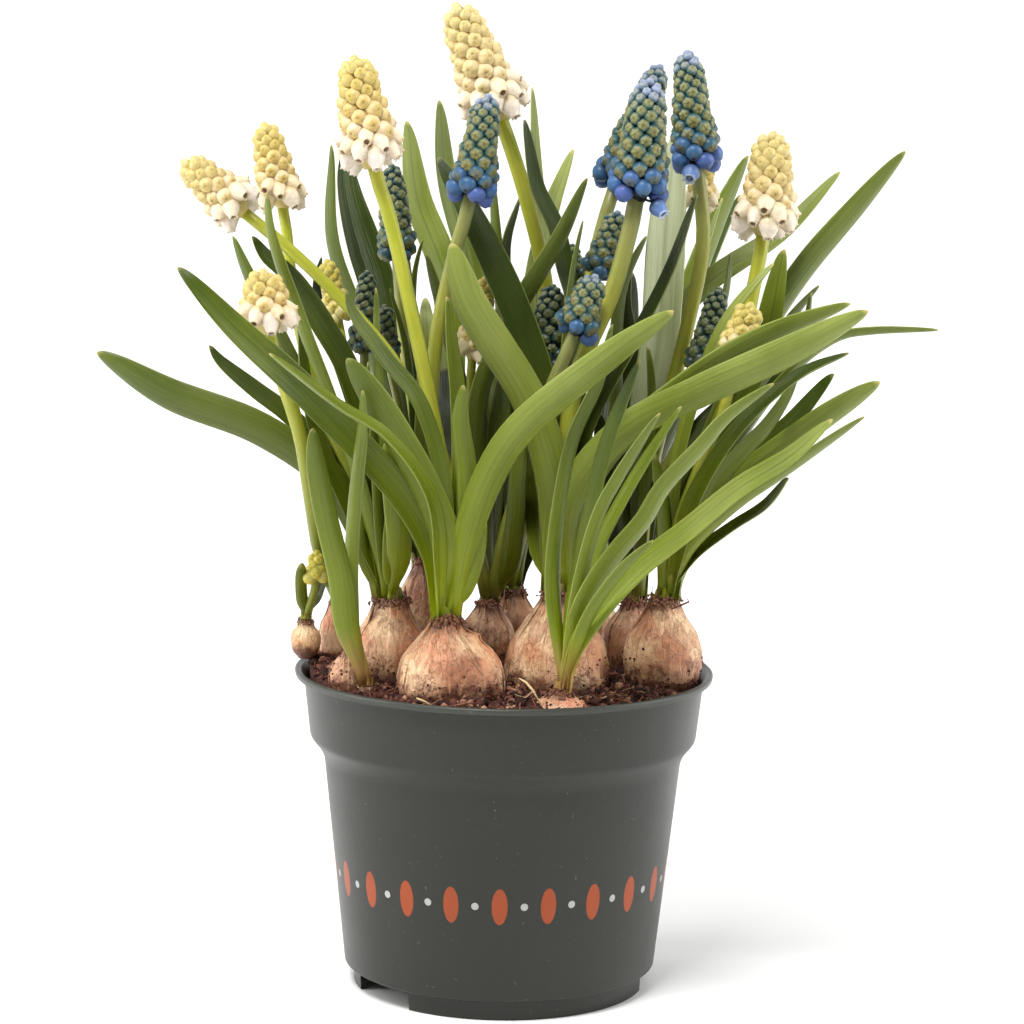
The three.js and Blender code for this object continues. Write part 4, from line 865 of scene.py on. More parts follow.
def bulb_radius(lobe, heights):
    outline = bulb_outline(lobe)
    return through(outline[:, 1], outline[:, 0], heights)


def bulb_reach(plant, heights, angles):
    """How far a bulb's skin is from its main axis: both lobes, with a soft crease between."""
    main, *others = BULBS[plant][1:]
    reach = np.broadcast_arrays(bulb_radius(main, heights), angles)[0]
    for lobe in others:
        away = lobe[0] - main[0], lobe[1] - main[1]
        ahead = away[0] * np.cos(angles) + away[1] * np.sin(angles)
        inside = bulb_radius(lobe, heights) ** 2 - (np.dot(away, away) - ahead**2)
        there = (heights > lobe[5]) & (heights < lobe[4]) & (inside > 0)
        far = np.where(there, ahead + np.sqrt(np.maximum(inside, 0)), 0)
        reach = 0.9 * np.logaddexp(reach / 0.9, far / 0.9)
    return reach


def draw_bulb(plant, seed):
    shape = Shape()
    main = BULBS[plant][1]
    _, y, radius, _, neck, base, throat = main
    crinkled = BULB_LOOKS[plant][2]
    fine = radius > FINE_FROM["radius"] and y < FINE_FROM["depth"]
    rows, columns = FINE_SKIN if fine else COARSE_SKIN
    heights = (base + (neck - base) * (1 - np.cos(np.linspace(0, 1, rows) * math.pi)) / 2)[:, None]
    angles = circle(columns)
    reach = bulb_reach(plant, heights, angles)
    skin = ring(main, reach, angles, heights)
    lumps = fbm(skin, 9, 2, seed)
    bent = skin + 2.5 * np.stack([fbm(skin, 8, 1, seed + k) for k in (11, 12, 13)], axis=-1)
    folds = np.abs(fbm(bent * [1, 1, 0.5], 4.5, 3, seed + 3))
    wrinkles = fbm(skin * [1, 1, 0.5], 1.8, 2, seed + 5)
    push = CREASES["lumps"] * radius * lumps + CREASES["wrinkles"] * wrinkles
    push -= CREASES["folds"] * crinkled * np.maximum(0, CREASES["fold_width"] - folds)
    push *= smoothstep(reach, 0.5 * throat, 1.3 * throat) * 0.8 + 0.2
    skin = skin + ring((0, 0), push, angles, 0)
    from_back = np.abs(angles - math.pi / 2 - TURN * (angles > 1.5 * math.pi))
    tones = (heights - base) / (neck - base), *BULB_LOOKS[plant]
    shape.add_rings(skin, tones, (radius * from_back, heights, seed))
    draw_scales(shape, plant, seed)
    draw_collar(shape, plant, seed)
    return shape


def draw_flake(shape, plant, centre, spread, low, high, lift, curl, dryness, seed):
    """A loose papery scale that lies round a bulb and lifts at its torn edges."""
    main = BULBS[plant][1]
    columns = FLAKE["columns"]
    v = np.linspace(0, 1, FLAKE["rows"])[:, None]
    u = np.linspace(-1, 1, columns)
    angles = centre + spread * u
    torn = 0.12 * np.sin(5 * u + seed) + 0.07 * np.sin(11 * u + 2 * seed)
    z = low + (high - low) * (v + torn * smoothstep(v, 0.5, 1))
    out = bulb_reach(plant, z, angles) + lift + 0.1 * np.sin(9 * u + seed + 2 * v)
    out += curl * (smoothstep(np.abs(u), 0.7, 1) * 0.6 + smoothstep(v, 0.7, 1) ** 2)
    outer, inner = (ring(main, reach, angles, z) for reach in (out, out - FLAKE["thickness"]))
    rings = np.concatenate([outer, inner[:, ::-1]], axis=1)
    pink, brown, _ = BULB_LOOKS[plant]
    height = (rings[..., 2] - main[5]) / (main[4] - main[5])
    around = np.concatenate([angles, angles[::-1]]) * main[2]
    size = rings.shape[:2]
    tones = channels((height, pink, brown + dryness, 0.6), size).reshape(-1, 4)
    grains = channels((around, rings[..., 2], seed + 5), size).reshape(-1, 3)
    points, quads, _ = loft(rings)
    k = np.arange(columns - 1)
    end = np.stack([k, k + 1, 2 * columns - 2 - k, 2 * columns - 1 - k], axis=1)
    quads = np.concatenate([quads, end[:, ::-1], end + (size[0] - 1) * 2 * columns])
    shape.add((points[:-2], quads, np.zeros((0, 3), int)), tones, grains)


def draw_scales(shape, plant, seed):
    """Papery outer scales that have torn open round the shoulder."""
    _, _, radius, _, neck, base, _ = BULBS[plant][1]
    if radius < LEAST_SCALED_RADIUS or neck < SOIL["top"] + LOW_NECK:
        return
    rng = np.random.default_rng(int(seed * 10) + 3)
    for k in range(3):
        centre = -math.pi / 2 + (k - 1) * 1.9 + rng.uniform(-0.5, 0.5)
        low, high = max(base + 1, SOIL["top"] - 5), neck - rng.uniform(0.4, 2.2)
        spread, curl, dryness = rng.uniform(0.35, 0.6), rng.uniform(0.1, 0.35), rng.uniform(0.0, 0.3)
        draw_flake(shape, plant, centre, spread, low, high, 0.08, curl, dryness, seed + k)


def draw_collar(shape, plant, seed):
    """The torn, dry ends of the scales round the neck, and the crumbs caught in them."""
    x, y, radius, _, neck, _, throat = BULBS[plant][1]
    pink = BULB_LOOKS[plant][0]
    rng = np.random.default_rng(int(seed * 10) + 9)
    scale = min(1, radius / 9)
    t = np.linspace(0, 1, 6)
    for k in range(max(16, round(throat * 9))):
        angle = k * GOLDEN_ANGLE + rng.uniform(-0.2, 0.2)
        length, width = rng.uniform(1.2, 3.2) * scale, rng.uniform(0.8, 2.2) * scale
        lean = rng.uniform(-0.1, 0.55)
        z = neck - rng.uniform(0.4, 2.6) * scale + length * t * (1 - 0.5 * max(0, lean) * t)
        neck_reach = np.maximum(bulb_radius(BULBS[plant][1], np.minimum(z, neck)), 0.84 * throat)
        turned = angle + 0.25 * np.sin(3 * t + k) * t
        centre = ring((x, y), neck_reach + 0.12 + lean * length * t * t, turned, z)
        outwards = ring((0, 0), 0.12, turned, 0)
        half = 0.5 * width * (1 - t) ** 0.5 + 0.08
        sideways = ring((0, 0), half, turned + math.pi / 2, 0)
        strip = np.stack([centre - sideways, centre - outwards, centre + sideways, centre + outwards], axis=1)
        tone = COLLAR_HEIGHT, pink, rng.uniform(0.9, 1.3), 0.5
        shape.add(loft(strip), tone, (angle * throat, neck, seed))
    count = round(30 * scale * throat)
    angles = rng.uniform(0, TURN, count)
    reach = throat * (0.8 + 0.5 * rng.random(count) ** 1.5)
    places = ring((x, y), reach, angles, neck - 2.2 * (reach / throat - 0.8) + rng.uniform(-0.5, 0.9, count))
    turns = tumbled(rng, count)
    sizes = scale * rng.uniform(0.16, 0.5, (count, 1, 1)) * rng.uniform(0.5, 1.6, (count, 1, 3))
    tones, grains = (COLLAR_HEIGHT, 0, 1.4, 0.5), (angles[0], neck, seed)
    shape.scatter(crumb_template(3), places, turns * sizes, tones, grains)


# ---------------------------------------------------------------- flower heads

# Florets turned about +Z: rows of height and radius, as shares of the flower's length and greatest radius,
# and the depth of the six lobes
FLORETS = {
    "blue_bud": (18, [
        [0, 0.5, 0], [0.3, 0.88, 0], [0.56, 1, 0.02], [0.76, 0.92, 0.05], [0.89, 0.7, 0.1],
        [0.97, 0.42, 0.17], [0.97, 0.14, 0.15],
    ]),
    "blue_bell": (18, [
        [0, 0.3, 0], [0.1, 0.62, 0], [0.27, 0.94, 0], [0.46, 1.02, 0], [0.66, 0.94, 0.01], [0.81, 0.72, 0.02],
        [0.92, 0.45, 0.05], [0.985, 0.3, 0.1], [0.96, 0.14, 0.05],
    ]),
    "blue_open": (24, [
        [0, 0.3, 0], [0.08, 0.62, 0], [0.24, 0.96, 0], [0.42, 1.02, 0], [0.6, 0.92, 0.01], [0.74, 0.74, 0.02],
        [0.85, 0.62, 0.04], [0.93, 0.64, 0.1], [0.99, 0.7, 0.18], [0.97, 0.56, 0.14], [0.88, 0.4, 0],
        [0.72, 0.3, 0],
    ]),
    "white_bud": (18, [
        [0, 0.45, 0], [0.2, 0.84, 0], [0.42, 1, 0.01], [0.62, 0.97, 0.02], [0.79, 0.8, 0.04],
        [0.91, 0.56, 0.06], [0.975, 0.3, 0.12], [0.93, 0.1, 0.05],
    ]),
    "white_bell": (18, [
        [0, 0.3, 0], [0.1, 0.66, 0], [0.28, 0.97, 0.02], [0.47, 1, 0.03], [0.64, 0.89, 0.03],
        [0.78, 0.7, 0.04], [0.9, 0.49, 0.06], [0.98, 0.5, 0.13], [0.985, 0.38, 0.1], [0.86, 0.2, 0],
    ]),
}

# Per colour: spacing at the base, in the middle and at the tip, the radius of a head that has just that
# spacing, a bud's length and radius as shares of it, the share of the head that carries bells, and how much
# longer a bell is
PACKING = {
    "blue": {"spacing": (5.4, 4.5, 2.6), "full_radius": 7.4, "length": 0.95, "radius": 0.505, "bells": 0.14,
             "bell_length": 1.04},
    "white": {"spacing": (6.0, 5.4, 3.4), "full_radius": 8.6, "length": 1.0, "radius": 0.475, "bells": 0.3,
              "bell_length": 1.32},
}

# How the flowers point, in degrees from level, at shares of the head's height
TILT_PLACES = [0, 0.12, 0.3, 0.7, 0.92, 1]
TILTS = [-62, -40, -14, 14, 46, 84]

# Each head's youth, which turns it green or yellow, and paler if less than 0; how far its lowest flowers hang
# open; and any wide open bell under it, as the turn about the stalk in degrees and the drop
HEAD_LOOKS = {
    "white": [(-0.2, 1), (0.1, 1), (0, 1), (-0.35, 0.9), (-0.2, 1), (0, 1.3), (0.7, 0), (0.4, 0.4), (0.4, 0),
              (0.2, 0.8), (1, 0)],
    "blue": [(0, 1), (0, 1, (-20, 1.5)), (0, 1, (-108, 1)), (0.1, 0.6), (0.3, 0.5), (0.15, 0.8), (0.8, 0.2),
             (0.85, 0), (0.9, 0), (0.6, 0.3), (1, 0), (0.95, 0), (0.9, 0)],
}


def head_radius(share):
    """A head's outline: its radius at each share of its height, as a share of its greatest."""
    share = np.asarray(share, float)
    low = 1 - (1 - HEAD["base"]) * ((HEAD["widest"] - share) / HEAD["widest"]) ** 2
    cone = 1 + (HEAD["top"] - 1) * (share - HEAD["widest"]) / (1 - HEAD["widest"])
    past = np.maximum(0, (share - HEAD["round"]) / (1 - HEAD["round"]))
    high = cone * np.sqrt(np.maximum(HEAD["tip"] ** 2, 1 - past**2))
    return np.where(share < HEAD["widest"], low, high)


def floret(kind):
    """A flower along +Z, and each vertex's share of the way along its profile."""
    sides, profile = FLORETS[kind]
    height, radius, lobe = (np.array(column, float)[:, None] for column in zip(*profile))
    lobes = lobe * np.cos(6 * circle(sides))
    surface = loft(ring((0, 0), radius * (1 + lobes), circle(sides), height + 0.22 * lobes))
    return surface, np.concatenate([np.repeat(np.linspace(0, 1, len(profile)), sides), [0, 1]])


def add_florets(shape, kind, starts, frames, places, chances, openness, youth):
    """Flowers of one kind. Their tones: place on the head, place along, chance, and 0 to 2 for how open."""
    template, along = floret(kind)
    tones = channels((places[:, None], along, chances[:, None], openness), (len(places), len(along)))
    shape.scatter(template, starts, frames, tones, (youth, 0, 0))


def add_pedicel(shape, points, thickness, youth):
    shape.add(loft(tube(points, thickness, 5)), (0.1, 0, 0.5, 0), (youth, 0.5, 0))


def draw_head(flower, looks):
    shape = Shape()
    youth, openness, *open_bells = looks
    packing = PACKING[flower.colour]
    tip, base = flower.tip_place(), flower.fine_course(np.array([0.0]))[0]
    length = np.linalg.norm(tip - base)
    axis = (tip - base) / length
    across = across_of(axis[None], 0)[0]
    face = np.cross(axis, across)
    radius = flower.width / 2

    # a spiral of flowers, as many as their spacing lets on
    small = min(1, 0.5 + 0.5 * radius / packing["full_radius"])
    shares = np.linspace(0, 1, 400)
    spacing_at = small * np.interp(shares, [0, 0.45, 1], packing["spacing"])
    per_step = TURN * radius * head_radius(shares) * length / 399 / (0.87 * spacing_at**2)
    total = np.concatenate([[0], np.cumsum(per_step)])[:400]
    count = int(total[-1])
    places = np.interp(np.arange(count) + 0.5, total, shares)
    angles = np.arange(count) * GOLDEN_ANGLE + radius
    spacing = np.interp(places, shares, spacing_at)
    radial = across * np.cos(angles)[:, None] + face * np.sin(angles)[:, None]
    jitter = RANDOM.uniform(-1, 1, (count, 3))
    bells = places < packing["bells"] * openness
    tilt = np.radians(np.interp(places, TILT_PLACES, TILTS) + 7 * jitter[:, 0])
    directions = radial * np.cos(tilt)[:, None] + axis * np.sin(tilt)[:, None]
    directions[:, 2] -= np.interp(places, [0, 0.3], [0.6, 0.1]) * openness
    directions += 0.09 * jitter
    directions /= np.linalg.norm(directions, axis=1)[:, None]
    outer = base + axis * (places * length)[:, None] + radial * (radius * head_radius(places))[:, None]
    outer += directions * (0.09 * spacing * jitter[:, 1])[:, None]
    sizes = spacing * packing["radius"] * (1 + 0.08 * jitter[:, 1])
    lengths = spacing * packing["length"] * (1 + 0.06 * jitter[:, 2])
    lengths = lengths * np.where(bells, packing["bell_length"], 1)
    starts = outer - directions * (lengths * np.where(bells, 0.85, 1))[:, None]
    frames = turning_frames(directions, RANDOM.uniform(0, TURN, count))
    frames = frames * np.stack([sizes, sizes, lengths], axis=1)[:, None, :]
    for kind, some in (("bud", ~bells), ("bell", bells)):
        chances = RANDOM.random(some.sum())
        if some.any():
            add_florets(shape, f"{flower.colour}_{kind}", starts[some], frames[some], places[some], chances,
                        kind == "bell", youth)

    # wide open bells under the head, the flower at its tip, the core inside the flowers, coloured as painted
    # shade, and the pedicels of the lowest flowers
    for turn, drop in open_bells:
        around = across * math.cos(math.radians(turn)) + face * math.sin(math.radians(turn))
        start = base + around * 0.62 * radius - axis * (drop - 2.5)
        downwards = around * 0.8 + [0, -0.3, -0.8]
        frame = turning_frames(downwards[None], np.zeros(1)) * [2.5, 2.5, 5.4]
        add_florets(shape, "blue_open", start[None], frame, np.array([0.08]), np.array([0.5]), 2, youth)
        path = [start + 0.02 * downwards, (start + base) / 2 + axis, base + 2 * axis]
        add_pedicel(shape, path, 0.4, youth)
    top_size = 0.5 * spacing_at[-1]
    frame = turning_frames(axis[None], np.zeros(1)) * [top_size, top_size, 2.4 * top_size]
    start = (tip - 2.3 * top_size * axis)[None]
    add_florets(shape, f"{flower.colour}_bud", start, frame, np.ones(1), np.array([0.5]), 0, youth)
    shade_core = np.linspace(0.02, 0.93, 12)
    core_radii = np.maximum(0.5, radius * head_radius(shade_core) - 0.78 * np.interp(shade_core, shares, spacing_at))
    rings = tube(base + axis * (shade_core * length)[:, None], core_radii, 14)
    shape.add(loft(rings), (0.5, 0, 0.5, 0), (youth, 1, 0))
    for i in np.flatnonzero(places < 0.3):
        inner = base + axis * (places[i] * length + 1.5) + radial[i] * 0.3 * radius
        middle = (inner + starts[i]) / 2 + [0, 0, 0.5]
        add_pedicel(shape, [starts[i] + 0.4 * directions[i], middle, inner], 0.38, youth)
    shape.parts = [(at_depth(part[0]), *part[1:]) for part in shape.parts]
    return shape


# ---------------------------------------------------------------- soil

WALL = {"radius": 55.8, "fibre_radius": 55.6, "dip": 1.2}
MOUND = {"height": 1.1, "width": 3}
SOIL_SIDES = 160
# Sizes of crumbs: the least, how much more the biggest are, and how rare big ones are
LYING_CRUMBS = (0.32, 0.85, 2.4)
CLINGING_CRUMBS = (0.12, 0.42, 3.5)
# The soil's side under its surface, inside the pot: [radius, height]
SOIL_SIDE = [[55.2, 84], [53.7, 73.4], [49.5, 67.6], [43.3, 9.4], [42.3, 8.7], [1, 8.7]]

# Pale rootlets and bits: points in millimetres, thickness and tone
ROOTLETS = [
    ([(4.2, -47, 98), (6.1, -48, 97.1), (8, -49.5, 95.2), (9.9, -50.5, 92)], 0.34, 1.0),
    ([(-23.6, -50, 92.6), (-22, -50.2, 92), (-20.6, -50, 91.2), (-19.4, -49.6, 90.6)], 0.36, 0.97),
    ([(46.4, -22, 113.4), (48.9, -22.6, 114.6), (51.3, -22.8, 115.8), (50.6, -22.6, 116.8)], 0.3, 0.3),
    ([(-50.2, -30, 92.2), (-46, -33, 93), (-42.4, -36, 93.2), (-39, -37, 92)], 0.16, 0.2),
]


def soil_height(x, y):
    """The solid's own surface: broad lumps, and a heap at the left."""
    long = np.sin(0.31 * x + 0.17 * y) + np.sin(0.23 * y - 0.35 * x + 1.7)
    short = np.sin(0.52 * x + 0.44 * y + 0.6)
    heaped = smoothstep(-x, 20, 44) * (1 - smoothstep(np.abs(y), 12, 36))
    return SOIL["top"] + SOIL["lump"] * (long + short) / 3 + SOIL["heap"] * heaped


def near_bulb(x, y):
    """How far each place is from the nearest bulb's skin at the soil."""
    gaps = []
    for bulb in BULBS.values():
        for lobe in bulb[1:]:
            if lobe[5] < SOIL["top"]:
                r = bulb_radius(lobe, min(SOIL["top"] + 1, lobe[4]))
                gaps.append(np.hypot(x - lobe[0], y - lobe[1]) - r)
    return np.min(gaps, axis=0)


def ground(x, y):
    """The soil's surface: the solid's, roughened, with a mound round each bulb and a dip at the wall."""
    points = np.stack([x, y, np.zeros_like(x)], axis=-1)
    rough = 0.55 * fbm(points, 7, 3, 2.5) + 0.35 * fbm(points, 1.6, 2, 9)
    mound = MOUND["height"] * np.exp(-np.maximum(near_bulb(x, y), 0) / MOUND["width"])
    return soil_height(x, y) + rough + mound - WALL["dip"] * smoothstep(np.hypot(x, y), 50, 56)


def draw_soil():
    shape = Shape()
    angles = circle(SOIL_SIDES)
    surface = ring((0, 0), WALL["radius"] * np.linspace(0.012, 1, 50)[:, None], angles, 0)
    surface[..., 2] = ground(surface[..., 0], surface[..., 1])
    side = [ring((0, 0), r, angles, z) for r, z in SOIL_SIDE]
    shape.add(loft([*surface, *side]), (0.4, 0.2, 0, 0))
    draw_crumbs(shape)
    draw_clinging(shape)
    draw_fibres(shape)
    return shape


def bumpy(corners, faces, most, seed):
    """A small closed lump whose corners stick out unevenly."""
    bumps = np.random.default_rng(seed).uniform(0.7, most, (len(corners), 1))
    return np.array(corners, float) * bumps, np.zeros((0, 4), int), np.array(faces)


def chip_template(seed):
    """A crumb of eight faces, for the smallest."""
    corners = [[1, 0, 0], [0, 1, 0], [-1, 0, 0], [0, -1, 0], [0, 0, 1], [0, 0, -1]]
    upper = [[k, (k + 1) % 4, 4] for k in range(4)]
    return bumpy(corners, upper + [[b, a, 5] for a, b, _ in upper], 1.3, seed)


def crumb_template(seed):
    """A crumb of twenty faces."""
    golden = (1 + math.sqrt(5)) / 2
    corners = np.array([
        [-1, golden, 0], [1, golden, 0], [-1, -golden, 0], [1, -golden, 0], [0, -1, golden], [0, 1, golden],
        [0, -1, -golden], [0, 1, -golden], [golden, 0, -1], [golden, 0, 1], [-golden, 0, -1], [-golden, 0, 1],
    ]) / 1.9
    faces = [
        [0, 11, 5], [0, 5, 1], [0, 1, 7], [0, 7, 10], [0, 10, 11], [1, 5, 9], [5, 11, 4], [11, 10, 2],
        [10, 7, 6], [7, 1, 8], [3, 9, 4], [3, 4, 2], [3, 2, 6], [3, 6, 8], [3, 8, 9], [4, 9, 5], [2, 4, 11],
        [6, 2, 10], [8, 6, 7], [9, 8, 1],
    ]
    return bumpy(corners, faces, 1.25, seed)


def scattered_places(count, most):
    """Places on the soil, outside the bulbs."""
    radius = most * np.sqrt(RANDOM.random(count * 2))
    angle = RANDOM.uniform(0, TURN, count * 2)
    x, y = radius * np.cos(angle), radius * np.sin(angle)
    clear = near_bulb(x, y) > 0.3
    return x[clear][:count], y[clear][:count]


def crumb_sizes(count, least, more, rarity):
    return least + more * RANDOM.random(count) ** rarity


def crumb_tones(shades):
    return np.stack([shades, 0 * shades + 0.5, 0 * shades, 0 * shades], axis=-1)[:, None]


def draw_crumbs(shape):
    for kind in range(5):
        x, y = scattered_places(SOIL["crumbs"] // 5, 56)
        count = len(x)
        sizes = crumb_sizes(count, *LYING_CRUMBS)
        z = ground(x, y) + 0.35 * sizes * RANDOM.uniform(0, 1.6, count)
        turns = tumbled(RANDOM, count) * RANDOM.uniform(0.7, 1.5, (count, 1, 3)) * sizes[:, None, None]
        tones = crumb_tones(RANDOM.random(count))
        shape.scatter(crumb_template(kind), np.stack([x, y, z], axis=1), turns, tones, (0, 0, 0))


def draw_clinging(shape):
    """Crumbs that stick to the bulbs just over the soil."""
    for plant, (_, main, *_) in BULBS.items():
        if main[5] > SOIL["top"]:
            continue
        count = round(52 * main[2])
        angles = RANDOM.uniform(0, TURN, count)
        banks = 1 + 0.6 * np.sin(2 * angles + main[0]) + 0.4 * np.sin(5 * angles + main[1])
        heights = SOIL["top"] - 0.5 + RANDOM.exponential(1, count) * (0.5 + 1.7 * np.maximum(0, banks))
        heights = np.minimum(heights, main[3] + 6)
        places = ring(main, bulb_reach(plant, heights, angles), angles, heights)
        sizes = crumb_sizes(count, *CLINGING_CRUMBS)
        turns = tumbled(RANDOM, count) * sizes[:, None, None]
        tones = crumb_tones(0.15 + 0.6 * RANDOM.random(count))
        shape.scatter(chip_template(7), places, turns, tones, (0, 0, 0))


def draw_fibres(shape):
    for points, thickness, tone in ROOTLETS:
        radii = thickness * np.array([0.5, 1, 1, 0.4])
        shape.add(loft(tube(points, radii, 6)), (tone, 1, 0, 0))
    t = np.linspace(-0.5, 0.5, 5)
    for start in zip(*scattered_places(SOIL["fibres"], 55)):
        angle, length, bend = RANDOM.uniform(0, TURN), RANDOM.uniform(2.5, 8), RANDOM.uniform(-0.5, 0.5)
        ahead = np.array([math.cos(angle), math.sin(angle)])
        aside = np.array([-math.sin(angle), math.cos(angle)])
        flat = start + length * t[:, None] * ahead + bend * length * t[:, None] ** 2 * aside
        flat *= np.minimum(1, WALL["fibre_radius"] / np.hypot(*flat.T))[:, None]
        z = ground(*flat.T) + 0.5 + RANDOM.uniform(0, 0.5) + 1.1 * RANDOM.random() * t
        radii = np.array([0.1, 0.2, 0.24, 0.2, 0.08]) * RANDOM.uniform(0.6, 1.2)
        shape.add(loft(tube(np.column_stack([flat, z]), radii, 3)), (RANDOM.random(), 1, 0, 0))


# ---------------------------------------------------------------- pot


def rounded(corners, steps=5):
    """A profile with each corner cut back by its own radius and drawn as an arc."""
    points = []
    for i, (r, z, size) in enumerate(corners):
        here = np.array([r, z], float)
        if i in (0, len(corners) - 1) or size == 0:
            points.append(here)
            continue
        before, after = (np.array(corners[k][:2], float) - here for k in (i - 1, i + 1))
        lengths = [np.linalg.norm(v) for v in (before, after)]
        cut = min(size, 0.45 * lengths[0], 0.45 * lengths[1])
        start, end = here + before / lengths[0] * cut, here + after / lengths[1] * cut
        for t in np.linspace(0, 1, steps):
            points.append((1 - t) ** 2 * start + 2 * t * (1 - t) * here + t * t * end)
    return np.array(points)


def pot_cutters():
    """The bodies that cut the foot ring's notches and the drain holes."""
    half, top = POT["notch_width"] / 2, POT["notch_height"]
    corners = rounded([[-half, -5, 0], [half, -5, 0], [half, top, 0.9], [-half, top, 0.9], [-half, -5, 0]], 4)
    x, z = corners[:-1].T
    notch = loft([np.stack([x, np.full(len(x), y), z], axis=1) for y in (-47, -37)])
    for azimuth in POT["notch_azimuths"]:
        piece = closed_piece("cutter", notch)
        piece.matrix_world = Matrix.Rotation(math.radians(azimuth), 4, "Z")
        yield piece
    for angle in circle(POT["drains"]):
        x, y = POT["drain_ring"] * math.cos(angle), POT["drain_ring"] * math.sin(angle)
        yield closed_piece("cutter", loft(tube([[x, y, z] for z in (12, 7.7, 4)], POT["drain_radius"], 32)))


def closed_piece(name, surface, *materials):
    shape = Shape()
    shape.add(surface)
    return shape.to_object(name, *materials)


def draw_pot():
    corners = [
        [1, POT["floor_underside"], 0], [POT["foot_inside"], POT["floor_underside"], 0.5],
        [POT["foot_inside"], 0, 0.3], *POT_OUTSIDE, *POT_INSIDE, [43, POT["floor_top"], 0.8],
        [1, POT["floor_top"], 0],
    ]
    radii, heights = (column[:, None] for column in rounded(corners).T)
    angles = (np.arange(POT["sides"]) + 0.5) / POT["sides"] * TURN
    pot = closed_piece("pot_moulded", loft(ring((0, 0), radii, angles, heights)), MATERIALS["pot"])
    cutters = list(pot_cutters())
    bpy.context.view_layer.objects.active = pot
    for cutter in cutters:
        modifier = pot.modifiers.new("cut", "BOOLEAN")
        modifier.object = cutter
        modifier.operation = "DIFFERENCE"
        modifier.solver = "EXACT"
    graph = bpy.context.evaluated_depsgraph_get()
    mesh = bpy.data.meshes.new_from_object(pot.evaluated_get(graph))
    pot.modifiers.clear()
    pot.data = mesh
    for cutter in cutters:
        bpy.data.objects.remove(cutter)
    mesh.set_sharp_from_angle(angle=math.radians(38))
    return pot


# ---------------------------------------------------------------- materials

# Colours are sRGB, 0 to 255. A flower's side and star change from the head's base to its tip. The gap is
# painted shade between the flowers, laid on each flower's base and on the head's core; the inside is a bell's
# mouth, and the star begins at star_from along the flower.
PETALS = {
    "blue": {
        "side": [(0.0, (78, 100, 168)), (0.12, (62, 104, 158)), (0.2, (46, 92, 116)), (0.36, (46, 84, 82)),
                 (0.8, (50, 86, 88)), (0.89, (76, 104, 112)), (0.97, (130, 144, 172))],
        "star": [(0.0, (96, 110, 160)), (0.14, (100, 110, 104)), (0.3, (136, 132, 78)),
                 (0.82, (130, 132, 84)), (0.97, (152, 162, 180))],
        "gap": (9, 18, 24), "star_from": (0.5, 0.76), "inside": (64, 50, 34),
        "young_side": (30, 48, 42), "young_star": (92, 102, 64),
    },
    "white": {
        "side": [(0.0, (230, 218, 206)), (0.3, (224, 204, 170)), (0.5, (216, 192, 134)),
                 (0.8, (208, 187, 116)), (1.0, (206, 190, 124))],
        "star": [(0.0, (228, 208, 184)), (0.3, (210, 182, 114)), (0.7, (198, 173, 88)),
                 (1.0, (200, 180, 98))],
        "gap": (200, 180, 110), "star_from": (0.55, 0.78), "inside": (118, 78, 36),
        "young_side": (168, 164, 36), "young_star": (186, 176, 40),
    },
}

# A printed frieze right round the pot: upright orange ovals with pale dots between. Each mark: its place
# within a repeat, half its width as a share of a repeat, half its height in millimetres, and its ink.
PRINT = {
    "count": 22,
    "middle": 34,
    "marks": [(0.0, 0.16, 5.2, (150, 64, 20)), (0.5, 0.075, 1.05, (168, 170, 168))],
}


def srgb(colour):
    """Linear colour, with full cover, of an sRGB colour given as 0 to 255."""
    shares = [value / 255 for value in colour]
    return [s / 12.92 if s <= 0.04045 else ((s + 0.055) / 1.055) ** 2.4 for s in shares] + [1]


class Value:
    """A node's output, on which sums add further nodes."""

    def __init__(self, look, socket):
        self.look, self.socket = look, socket

    def __add__(self, other):
        return self.look.math("ADD", self, other)

    def __sub__(self, other):
        return self.look.math("SUBTRACT", self, other)

    def __rsub__(self, other):
        return self.look.math("SUBTRACT", other, self)

    def __mul__(self, other):
        return self.look.math("MULTIPLY", self, other)

    def __truediv__(self, other):
        return self.look.math("DIVIDE", self, other)

    def __pow__(self, other):
        return self.look.math("POWER", self, other)

    def __abs__(self):
        return self.look.math("ABSOLUTE", self, 0)

    def range(self, low, high, to_low=0.0, to_high=1.0):
        """This value's stretch from low to high, spread over another one and held at its ends."""
        return self.look.node("MapRange", {0: self, 1: low, 2: high, 3: to_low, 4: to_high}, clamp=True)


